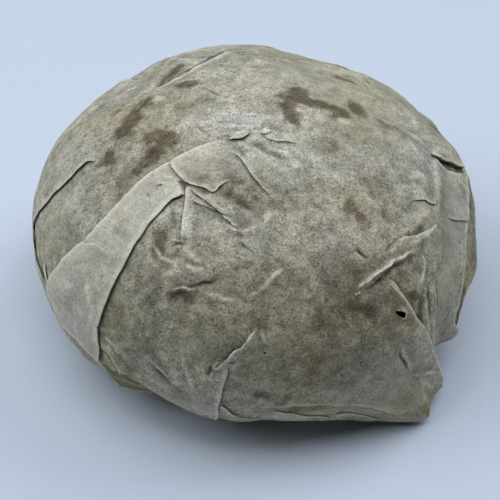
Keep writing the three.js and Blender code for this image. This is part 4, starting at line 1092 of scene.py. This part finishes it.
paper = {
    # Some colours also paint light and shade: the pale clean colour partly painted light, the rim colour
    # painted highlight, the furrow tint and the tint of tea seepage partly painted shade, the slit colour
    # painted shadow as well as tea through pinholes, the olive older-paper colours partly painted light
    # through thin paper, the cream and greyed tints partly the painted colour of the light.
    "plain": "#c9c0a9", "shadeOfPulp": "#aba48d", "cleanAndLit": "#dcd3bf", "warm": "#fdfdf6", "cool": "#fafcff",
    "cream": "#fff4dc", "greyed": "#f4f4ff", "rim": "#f7ecd6", "speck": "#4c4236",
    "stainTint": "#9b9187", "soakTint": "#c6c2b6", "agedBacklitTint": "#bfb992", "furrowTint": "#8a8472",
    "slit": "#2b2922", "agedBacklitPlain": "#aba27c",
    "roughness": 0.86, "roughnessSpread": 0.08, "ior": 1.45, "specular": 0.25,
    # The patterns of the pulp: size in mm, detail, roughness and distortion. Single fibres are finer
    # than 0.1 mm, so they are drawn some 0.2 to 0.9 mm coarse, as they need to show.
    "patterns": {
        "cloud": (8.0, 5, 0.6, 0.0), "mottle": (1.6, 5, 0.6, 1.0), "grain": (0.36, 3, 0.75, 0.6),
        "fineGrain": (0.2, 2, 0.6, 0.0), "curls": (0.9, 4, 0.7, 2.6), "hue": (14.0, 4, 0.55, 0.0),
        "patchy": (1.3, 2, 0.5, 0.0), "veinPatch": (6.5, 2, 0.5, 0.0), "soakCloud": (3.2, 5, 0.6, 0.0),
        "stainEdge": (1.3, 6, 0.75, 0.0), "someDots": (6.0, 1, 0.5, 0.0), "patchyHighlight": (1.4, 3, 0.5, 0.0),
        "creases": (1.9, 3, 0.5, 0.0), "dashes": (0.62, 1, 0.5, 0.8), "lights": (0.85, 1, 0.5, 0.8),
    },
    # how light and dark the pulp is: pattern, where it starts and ends, then the shade at either end
    "tones": [("mottle", 0.3, 0.7, 0.82, 1.18), ("curls", 0.34, 0.66, 0.74, 1.26),
              ("grain", 0.3, 0.7, 0.56, 1.48), ("fineGrain", 0.3, 0.7, 0.75, 1.25)],
    # where a pattern or field starts and ends and, unless that is 0 and 1, what it gives at either end
    "limits": {
        # crest: painted shade in the relief's hollows, painted highlight on its crests
        "cloud": (0.36, 0.64), "hue": (0.42, 0.58), "crest": (-1.0, 1.0, 0.66, 1.34),
        "smooth": (0.0, 1.0, 1.0, 0.35), "darkHairs": (0.44, 0.56), "lightHairs": (0.56, 0.44),
        "veinPatch": (0.42, 0.6), "soakCloud": (0.3, 0.6, 0.4, 1.2), "stainEdge": (0.25, 0.75, -0.34, 0.34),
        "stain": (0.08, 0.85), "stainDepth": (0.0, 1.0, 0.35, 1.1), "stainMottle": (0.3, 0.7, 0.6, 1.15),
        "speckEdge": (0.075, 0.04), "someDots": (0.5, 0.62), "patchyHighlight": (0.3, 0.65, 0.3, 1.0),
    },
    "dashWidth": 0.05, "dashes": 0.8, "lightWidth": 0.04, "lights": 0.3,      # dark and light hairs
    # fine creases in the pulp
    "veinSize": 3.2, "veinWidth": 0.075, "veins": 0.12, "veinDrift": 1.8, "veinDriftDetail": 3.0,
    "veinBend": 2.2, "veinDepth": 0.2,
    "speckSpacing": 2.6, "specks": 0.7,                   # bark
    "fresher": 0.85, "furrows": 0.8, "slits": 0.9,        # how strong their colours are at most: the cleaner one partly painted light, furrows painted shade, slits painted shadow
    "fibre": (0.55, 3, 0.5, 1.2), "fibreStretch": (1.0, 0.35, 2.2),
    # relief too fine for the mesh: pattern, strength and depth in mm
    "bumps": [("creases", 0.6, 0.35), ("curls", 0.7, 0.25), ("grain", 0.6, 0.18), ("fibres", 0.4, 0.08)],
}


def handmadePaper(name, plain):
    # soft handmade paper, laid and air dried: matt, cloudy, with fibres and specks of bark
    material, tree, shader = newMaterial(name)
    place = addNode(tree, "ShaderNodeTexCoord").outputs["Object"]

    def noiseNode(size, detail, rough, distortion, vector=place):
        return addNode(tree, "ShaderNodeTexNoise", {
            "Vector": vector, "Scale": perMetre(size), "Detail": detail, "Distortion": distortion,
            "Roughness": rough}).outputs[0]

    def ramp(value, low, high, toLow=0.0, toHigh=1.0):
        return addNode(tree, "ShaderNodeMapRange", {
            "Value": value, "From Min": low, "From Max": high,
            "To Min": toLow, "To Max": toHigh}).outputs["Result"]

    def calculate(operation, a, b=0.0):
        return addNode(tree, "ShaderNodeMath", {0: a, 1: b}, operation=operation).outputs[0]

    def times(a, b):
        return calculate("MULTIPLY", a, b)

    def field(attribute):
        return addNode(tree, "ShaderNodeAttribute", attribute_name=attribute).outputs["Fac"]

    def blendColour(fac, a, b, mode="MIX"):
        mixer = addNode(tree, "ShaderNodeMix", {0: fac, 6: a, 7: b}, data_type="RGBA", blend_type=mode)
        return mixer.outputs[2]

    def paint(fac, tint):
        return blendColour(fac, colour, linear(paper[tint]))

    def tinted(fac, tint):
        return blendColour(fac, colour, linear(paper[tint]), "MULTIPLY")

    def toned(fac, value):
        grey = addNode(tree, "ShaderNodeCombineColor", {0: value, 1: value, 2: value}).outputs[0]
        return blendColour(fac, colour, grey, "MULTIPLY")

    patterns = {key: noiseNode(*values) for key, values in paper["patterns"].items()}

    def limited(key, value=None):
        return ramp(value or patterns[key], *paper["limits"][key])

    colour = blendColour(limited("cloud"), linear(paper["shadeOfPulp"]), linear(plain))
    # cleaner paper, partly painted light on facets that face the lamps
    colour = paint(times(field("cleanAndLit"), paper["fresher"]), "cleanAndLit")
    hue = blendColour(limited("hue"), linear(paper["warm"]), linear(paper["cool"]))
    colour = blendColour(1.0, colour, hue, "MULTIPLY")
    # cream and grey tints: partly the paper's own hue, partly the painted colour of the light, warmer low
    # down and cooler from above
    colour = tinted(field("cream"), "cream")
    colour = tinted(field("cool"), "greyed")
    # pulp that lies unevenly: patches, then grain, then single fibres; smooth places show less of it
    roughShare = limited("smooth", field("smooth"))
    # painted shade and highlight: the relief's hollows darker, its crests lighter
    colour = toned(1.0, limited("crest", field("crest")))
    for pattern, *limits in paper["tones"]:
        colour = toned(roughShare, ramp(patterns[pattern], *limits))

    def hairs(pattern, width, mask):
        # fibres that curl, where the contour of a noise runs
        contour = calculate("ABSOLUTE", calculate("SUBTRACT", patterns[pattern], 0.5))
        return times(times(ramp(contour, width, 0.0), mask), roughShare)

    dashes = hairs("dashes", paper["dashWidth"], limited("darkHairs", patterns["patchy"]))
    lights = hairs("lights", paper["lightWidth"], limited("lightHairs", patterns["patchy"]))
    colour = tinted(times(dashes, paper["dashes"]), "furrowTint")
    colour = paint(times(lights, paper["lights"]), "rim")
    # hair-fine creases run between the facets of the pulp
    drift = addNode(tree, "ShaderNodeTexNoise", {
        "Vector": place, "Scale": perMetre(paper["veinDrift"]), "Detail": paper["veinDriftDetail"]})
    bent = addNode(tree, "ShaderNodeVectorMath", {
        0: drift.outputs["Color"], 1: (paper["veinBend"] * millimetre,) * 3, 2: place},
        operation="MULTIPLY_ADD").outputs[0]
    cells = addNode(tree, "ShaderNodeTexVoronoi", {
        "Vector": bent, "Scale": perMetre(paper["veinSize"])}, feature="DISTANCE_TO_EDGE").outputs["Distance"]
    vein = times(times(ramp(cells, paper["veinWidth"], 0.0), limited("veinPatch")), roughShare)
    colour = tinted(times(vein, paper["veins"]), "furrowTint")
    # tea has seeped through in broad clouds and dark stains; the broad clouds also carry painted shade on the
    # lower front and on the tucked-under layer
    colour = tinted(times(field("soakAndShade"), limited("soakCloud")), "soakTint")
    ragged = calculate("ADD", field("stain"), limited("stainEdge"))
    stain = times(limited("stain", ragged), limited("stainDepth", field("stain")))
    colour = tinted(times(stain, limited("stainMottle", patterns["mottle"])), "stainTint")
    # olive tint: partly older paper, partly painted light shining through the thin edges
    colour = tinted(field("agedBacklit"), "agedBacklitTint")
    dots = addNode(tree, "ShaderNodeTexVoronoi", {
        "Vector": place, "Scale": perMetre(paper["speckSpacing"]), "Randomness": 1.0})
    specks = times(limited("speckEdge", dots.outputs["Distance"]), limited("someDots"))
    colour = paint(times(specks, paper["specks"]), "speck")
    # painted highlight on folded edges, crests and the tear's lip; painted shade in furrows; painted shadow
    # under the edges, and the dark of tea through pinholes
    colour = tinted(times(field("furrow"), paper["furrows"]), "furrowTint")
    colour = paint(times(field("rim"), limited("patchyHighlight")), "rim")
    colour = paint(times(field("slit"), paper["slits"]), "slit")
    stretched = addNode(tree, "ShaderNodeMapping", {"Vector": place, "Scale": paper["fibreStretch"]})
    heights = {**patterns, "fibres": noiseNode(*paper["fibre"], vector=stretched.outputs[0])}
    heights["creases"] = calculate("SUBTRACT", patterns["creases"], times(vein, paper["veinDepth"]))
    normal = {}
    for pattern, strength, depth in paper["bumps"]:
        bump = addNode(tree, "ShaderNodeBump", {
            "Height": heights[pattern], "Strength": strength, "Distance": depth * millimetre, **normal})
        normal = {"Normal": bump.outputs[0]}
    low, high = paper["roughness"] - paper["roughnessSpread"], paper["roughness"] + paper["roughnessSpread"]
    tree.links.new(colour, shader.inputs["Base Color"])
    tree.links.new(ramp(patterns["grain"], 0.0, 1.0, low, high), shader.inputs["Roughness"])
    tree.links.new(normal["Normal"], shader.inputs["Normal"])
    shader.inputs["IOR"].default_value = paper["ior"]
    shader.inputs["Specular IOR Level"].default_value = paper["specular"]
    return material


leafCake = {
    # dark to light along the ramp of the leaves: colour and place
    "ramp": [("#1a120c", 0.35), ("#3a2a1d", 0.52), ("#6a5236", 0.72)],
    "leafLength": 5.0, "veinSize": 1.2, "veinDetail": 5.0, "stretch": (1.0, 2.6, 1.6), "roughness": 0.7,
    "leafRelief": (0.8, 0.6), "veinRelief": (0.6, 0.2),      # strength, and depth in mm
}


def pressedLeaf():
    # fermented leaves steamed and pressed into a cake: dark brown, twisted, with a dull shine
    material, tree, shader = newMaterial("pressedTeaLeaf")
    place = addNode(tree, "ShaderNodeTexCoord").outputs["Object"]
    mapped = addNode(tree, "ShaderNodeMapping", {"Vector": place, "Scale": leafCake["stretch"]}).outputs[0]
    leaves = addNode(tree, "ShaderNodeTexVoronoi", {
        "Vector": mapped, "Scale": perMetre(leafCake["leafLength"])}, feature="SMOOTH_F1")
    veins = addNode(tree, "ShaderNodeTexNoise", {
        "Vector": mapped, "Scale": perMetre(leafCake["veinSize"]), "Detail": leafCake["veinDetail"]})
    colours = addNode(tree, "ShaderNodeValToRGB", {0: veins.outputs[0]})
    elements = colours.color_ramp.elements
    elements.new(0.5)      # a third colour; the loop places all three
    for element, (colour, position) in zip(elements, leafCake["ramp"]):
        element.position, element.color = position, linear(colour)
    normal = {}
    for height, (strength, depth) in ((leaves.outputs["Distance"], leafCake["leafRelief"]),
                                      (veins.outputs[0], leafCake["veinRelief"])):
        bump = addNode(tree, "ShaderNodeBump", {
            "Height": height, "Strength": strength, "Distance": depth * millimetre, **normal})
        normal = {"Normal": bump.outputs[0]}
    tree.links.new(colours.outputs[0], shader.inputs["Base Color"])
    tree.links.new(normal["Normal"], shader.inputs["Normal"])
    shader.inputs["Roughness"].default_value = leafCake["roughness"]
    return material


wrappingPaper = handmadePaper("handmadePaper", paper["plain"])
# the olive paper of the tucked flap: partly older, yellower paper, partly painted light shining through it
agedBacklitPaper = handmadePaper("agedBacklitHandmadePaper", paper["agedBacklitPlain"])
print("materials made")

sharpAngle = 55      # degrees past which an edge of the paper is drawn sharp


def closedSheet(points, triangles):
    # gives a sheet its thickness on the inside, and closes it round its edges
    corners = points[triangles]
    faceNormals = np.cross(corners[:, 1] - corners[:, 0], corners[:, 2] - corners[:, 0])
    normals = np.zeros_like(points)
    for i in range(3):
        np.add.at(normals, triangles[:, i], faceNormals)
    inner = points - unit(normals) * sheetMesh["paperThickness"]
    count = len(points)
    sides = np.concatenate([triangles[:, [0, 1]], triangles[:, [1, 2]], triangles[:, [2, 0]]])
    seen = set(map(tuple, sides.tolist()))
    edge = np.array([(a, b) for a, b in seen if (b, a) not in seen])
    rim = np.concatenate([np.stack([edge[:, 1], edge[:, 0], edge[:, 0] + count], axis=1),
                          np.stack([edge[:, 1], edge[:, 0] + count, edge[:, 1] + count], axis=1)])
    faces = np.concatenate([triangles, triangles[:, ::-1] + count, rim])
    return np.concatenate([points, inner]), faces


def makePiece(name, points, triangles, material, fields):
    # a closed sheet of paper that rides with the pack; `fields` has one value for each point
    corners, faces = closedSheet(points, triangles)
    mesh = bpy.data.meshes.new(name)
    mesh.from_pydata((corners * millimetre).tolist(), [], faces.tolist())
    mesh.materials.append(material)
    mesh.shade_smooth()
    mesh.set_sharp_from_angle(angle=math.radians(sharpAngle))
    for key, values in fields.items():
        attribute = mesh.attributes.new(key, "FLOAT", "POINT")
        attribute.data.foreach_set("value", twice(values).astype(np.float32))
    piece = bpy.data.objects.new(name, mesh)
    bpy.context.scene.collection.objects.link(piece)
    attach(piece, "root")
    print(name + ":", len(faces), "triangles")
    return piece


outerSheet = makePiece("outer_sheet", sheetPoints, sheetTriangles, wrappingPaper, fields)
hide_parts("wrapper")

# the gathered layer below: heel, foot, hollow and its twisted tuft

gather = {
    "pleats": 18, "depth": 1.0, "startAlong": 52.0, "inset": 0.75, "rowStep": 0.75,
    "twist": 38.0, "twistPower": 1.5,           # degrees that the hollow's paper is twisted
    "pleatStray": 0.16, "pleatDepths": (0.65, 1.3), "pleatShare": 0.97,
    # each pleat: a slow rise, then a fold back under
    "shares": np.array([0.0, 0.12, 0.24, 0.36, 0.48, 0.6, 0.7, 0.78, 0.84, 0.885, 0.9, 0.88, 0.91, 0.95]),
    "heights": np.array([0.0, 0.0, 0.02, 0.12, 0.32, 0.6, 0.82, 0.95, 1.0, 0.93, 0.7, 0.35, 0.08, 0.0]),
    "aboveWall": 2, "deepen": 9, "shallowNear": 7,      # mm over which the pleats deepen, and round the axis
    "insetAbove": 4, "insetFade": 8,
    "wobble": 0.16, "wobbleSizes": ((4.0, 21), (4.0, 22), (3.0, 23)),
    "stainSize": 6.0, "stainSeed": 24, "stainStart": 0.2, "stainEdge": 0.5, "stainMost": 0.6,
}
tuft = {
    # the paper's ends, twisted together and hanging into the hollow, open at the tip
    "below": 0.3, "drop": 5.5, "shoulder": 5.4, "neck": 3.6, "flare": 4.6, "neckAt": 2.2,
    "flareFrom": 0.45, "flareOver": 0.5, "fold": 0.22, "foldWaves": 3, "meanHeight": 0.4,
    "frill": 0.35, "frillFrom": 0.5, "frills": 5, "frillAt": 40, "turn": 55,
    "rings": np.linspace(0.08, 1, 16), "innerRings": np.linspace(0.15, 0.92, 7),
    "innerTurn": 60, "innerRise": 3.6, "innerFold": 0.25,
}


def pleatColumns():
    # azimuth and height share of each column of the mesh
    azimuth, height = [], []
    for i in range(gather["pleats"]):
        start = i + rng.uniform(-gather["pleatStray"], gather["pleatStray"])
        depth = rng.uniform(*gather["pleatDepths"])
        azimuth.append((start + gather["shares"] * gather["pleatShare"]) * 360 / gather["pleats"])
        height.append(gather["heights"] * depth)
    return np.concatenate(azimuth), np.concatenate(height)


def gridTriangles(rows, columns, closed):
    # the triangles of a mesh of rows, row after row; a closed one joins its last column to its first
    j = np.arange(columns if closed else columns - 1)
    k = (j + 1) % columns
    triangles = []
    for i in range(rows - 1):
        a, b, c, d = i * columns + j, i * columns + k, (i + 1) * columns + j, (i + 1) * columns + k
        triangles += [np.stack([a, c, d], axis=1), np.stack([a, d, b], axis=1)]
    return np.concatenate(triangles)


def tuftRings(azimuth, height):
    top = dome["hollowHeight"] - tuft["below"]
    rings = []
    for k in tuft["rings"]:
        flare = smooth((k - tuft["flareFrom"]) / tuft["flareOver"]) * (tuft["flare"] - tuft["neck"])
        radius = mix(tuft["shoulder"], tuft["neck"], smooth(k * tuft["neckAt"])) + flare
        folded = radius * (1 - tuft["fold"] * smooth(k * 2) * (height - tuft["meanHeight"])
                           * np.sin(tuft["foldWaves"] * k + 1))
        frill = (tuft["frill"] * smooth((k - tuft["frillFrom"]) / tuft["frillFrom"])
                 * np.sin(np.radians(azimuth * tuft["frills"] + tuft["frillAt"])))
        turned = azimuth + gather["twist"] + tuft["turn"] * k
        rings.append((turned, folded, top - tuft["drop"] * k + frill))
    for k in tuft["innerRings"]:   # the crumpled inside of the tuft
        radius = tuft["flare"] * (1 - k) * (1 - tuft["innerFold"] * (height - tuft["meanHeight"]))
        turned = azimuth + gather["twist"] + tuft["turn"] + tuft["innerTurn"] * k
        rings.append((turned, radius, top - tuft["drop"] + tuft["innerRise"] * smooth(k) + 0 * turned))
    return [polar(np.stack(ring, axis=1)) for ring in rings]


def polar(values):
    # points from azimuth, radius and height
    azimuth, radius, height = np.asarray(values, float).T
    angle = np.radians(azimuth)
    return np.stack([radius * np.cos(angle), radius * np.sin(angle), height], axis=1)


def gatheredLayer():
    azimuth, height = pleatColumns()
    rings = []
    for s in np.arange(gather["startAlong"], ceilingEnd, gather["rowStep"]):
        r = radiusAt(s, closedProfile)
        deep = smooth((s - wallEnd + gather["aboveWall"]) / gather["deepen"])
        amount = deep * smooth(r / gather["shallowNear"]) * gather["depth"]
        twist = gather["twist"] * smooth((s - footEnd) / (ceilingEnd - footEnd)) ** gather["twistPower"]
        inset = mix(gather["inset"], 0.0, smooth((s - wallEnd + gather["insetAbove"]) / gather["insetFade"]))
        lift = -inset - height * amount
        ring = paperPoint(azimuth, np.full(len(azimuth), s), lift, closedProfile, undercut=True)
        angle = math.radians(twist)
        turned = ring[:, :2] @ np.array([[math.cos(angle), math.sin(angle)],
                                         [-math.sin(angle), math.cos(angle)]])
        rings.append(np.concatenate([turned, ring[:, 2:]], axis=1))
    rings += tuftRings(azimuth, height)
    points = np.concatenate(rings)
    wobble = [noiseAt(points, size, seed) for size, seed in gather["wobbleSizes"]]
    points += np.stack(wobble, axis=1) * gather["wobble"]
    points[:, 2] = np.maximum(points[:, 2], 0.0)     # it rests flat on the table
    return points, gridTriangles(len(rings), len(azimuth), closed=True)


gatherPoints, gatherTriangles = gatheredLayer()
gatherStain = noiseAt(gatherPoints, gather["stainSize"], gather["stainSeed"]) - gather["stainStart"]
makePiece("gathered_layer", gatherPoints, gatherTriangles, wrappingPaper, {
    "stain": smooth(gatherStain / gather["stainEdge"]) * gather["stainMost"]})

# an older layer of the sheet that peeps out at the front left; its olive colour is partly painted light
# shining through the thin paper, and it is darkened with painted shade

peepFlap = {
    # azimuth, radius, height of four rows: hidden top, crease inside, folded edge that shows, hidden turn
    "rows": [[(224, 40.2, 12.5), (233, 40.0, 12.6), (247, 39.6, 12.4)],
             [(226.3, 39.9, 10.4), (231, 40.3, 8.9), (238, 39.5, 9.0), (244, 38.6, 9.2)],
             [(226.3, 39.6, 9.9), (229.6, 39.75, 7.6), (232.5, 39.5, 6.0), (237, 38.7, 6.3),
              (241.8, 38.0, 6.9)],
             [(227, 39.1, 10.2), (232.8, 38.9, 6.9), (241.4, 37.4, 7.6)]],
    "columns": 48, "between": 10, "wobble": 0.12, "wobbleSize": 3.0,
    # rows of its mesh that catch the light, the folded edge and the crease, and how far that reaches
    "edgeRow": 20, "edgeReach": 2.4, "creaseRow": 10, "creaseReach": 1.8, "creaseRim": 0.4,
    # the flap is darkened with painted shade
    "soakAndShade": 0.9, "smooth": 0.8,
}


def loft(rows, columns, between):
    # a sheet through control rows, each resampled to the same number of columns
    lines = [resampled(polar(row), columns) for row in rows]
    grid = []
    for a, b in zip(lines[:-1], lines[1:]):
        grid += [mix(a, b, k) for k in np.linspace(0, 1, between, endpoint=False)]
    grid.append(lines[-1])
    return np.concatenate(grid), gridTriangles(len(grid), columns, closed=False)


flapPoints, flapTriangles = loft(peepFlap["rows"], peepFlap["columns"], peepFlap["between"])
flapRow = np.arange(len(flapPoints)) // peepFlap["columns"]
flapRim = (hump(flapRow, peepFlap["edgeRow"], peepFlap["edgeReach"])
           + peepFlap["creaseRim"] * hump(flapRow, peepFlap["creaseRow"], peepFlap["creaseReach"]))
flapPoints += noises(flapPoints, peepFlap["wobbleSize"], (31, 32, 33)) * peepFlap["wobble"]
makePiece("peeping_layer", flapPoints, flapTriangles, agedBacklitPaper, {
    **{key: np.full(len(flapPoints), peepFlap[key]) for key in ("soakAndShade", "smooth")}, "rim": flapRim})

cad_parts["tea"].data.materials.clear()
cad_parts["tea"].data.materials.append(pressedLeaf())
print("tea dressed")

studio = {
    "floor": "#d5dbe3", "floorGrain": "#d2d8e0", "floorGrainSize": 2.0, "floorGrainDetail": 3.0,
    "floorSize": 3.0,      # metres
    "floorRoughness": 0.6, "floorSpecular": 0.2,
    "skyColour": "#d0dcee", "skyStrength": 0.052,
    "lampSize": 0.45, "lampColour": "#e9f2ff", "lampAim": Vector((0, 0, 0.02)),
    # place in metres and power in watts of each soft lamp
    "lamps": {"left": ((-0.4, -0.05, 0.5), 1.64), "backRight": ((0.35, 0.25, 0.5), 1.9),
              "backLeft": ((-0.35, 0.25, 0.5), 0.73), "overhead": ((0, 0, 0.65), 1.53)},
}


def paleFloor():
    # matt board, with a hardly visible grain
    material, tree, shader = newMaterial("paleStudioBoard")
    place = addNode(tree, "ShaderNodeTexCoord").outputs["Object"]
    grain = addNode(tree, "ShaderNodeTexNoise", {
        "Vector": place, "Scale": perMetre(studio["floorGrainSize"]), "Detail": studio["floorGrainDetail"]})
    colour = addNode(tree, "ShaderNodeMix", {
        0: grain.outputs[0], 6: linear(studio["floor"]), 7: linear(studio["floorGrain"])}, data_type="RGBA")
    tree.links.new(colour.outputs[2], shader.inputs["Base Color"])
    shader.inputs["Roughness"].default_value = studio["floorRoughness"]
    shader.inputs["Specular IOR Level"].default_value = studio["floorSpecular"]
    half = studio["floorSize"] / 2
    corners = [(-half, -half, 0), (half, -half, 0), (half, half, 0), (-half, half, 0)]
    mesh = bpy.data.meshes.new("studio_floor")
    mesh.from_pydata(corners, [], [(0, 1, 2, 3)])
    mesh.materials.append(material)
    floor = bpy.data.objects.new("studio_floor", mesh)
    bpy.context.scene.collection.objects.link(floor)


def softLamp(name, place, power):
    light = bpy.data.lights.new(name, "AREA")
    light.shape, light.size, light.energy = "DISK", studio["lampSize"], power
    light.color = linear(studio["lampColour"])[:3]
    lamp = bpy.data.objects.new(name, light)
    lamp.location = place
    lamp.rotation_euler = (studio["lampAim"] - Vector(place)).to_track_quat("-Z", "Y").to_euler()
    bpy.context.scene.collection.objects.link(lamp)


def dimRoom():
    world = bpy.data.worlds.new("softRoom")
    world.use_nodes = True
    background = world.node_tree.nodes["Background"]
    background.inputs[0].default_value = linear(studio["skyColour"])
    background.inputs[1].default_value = studio["skyStrength"]
    bpy.context.scene.world = world


def placeCamera():
    lens = bpy.data.cameras.new("camera")
    lens.sensor_width = camera["sensor"]
    lens.lens = camera["focalPixels"] * camera["sensor"] / camera["pixels"]
    eye = bpy.data.objects.new("camera", lens)
    back = Vector(cameraAxes()[2])
    eye.location = Vector(camera["target"]) * millimetre + back * camera["distance"] * millimetre
    eye.rotation_euler = back.to_track_quat("Z", "Y").to_euler()
    bpy.context.scene.collection.objects.link(eye)
    bpy.context.scene.camera = eye


paleFloor()
dimRoom()
for name, (place, power) in studio["lamps"].items():
    softLamp(name, place, power)
placeCamera()
bpy.context.scene.view_settings.view_transform = "Standard"
print("studio ready")

bpy.context.view_layer.update()
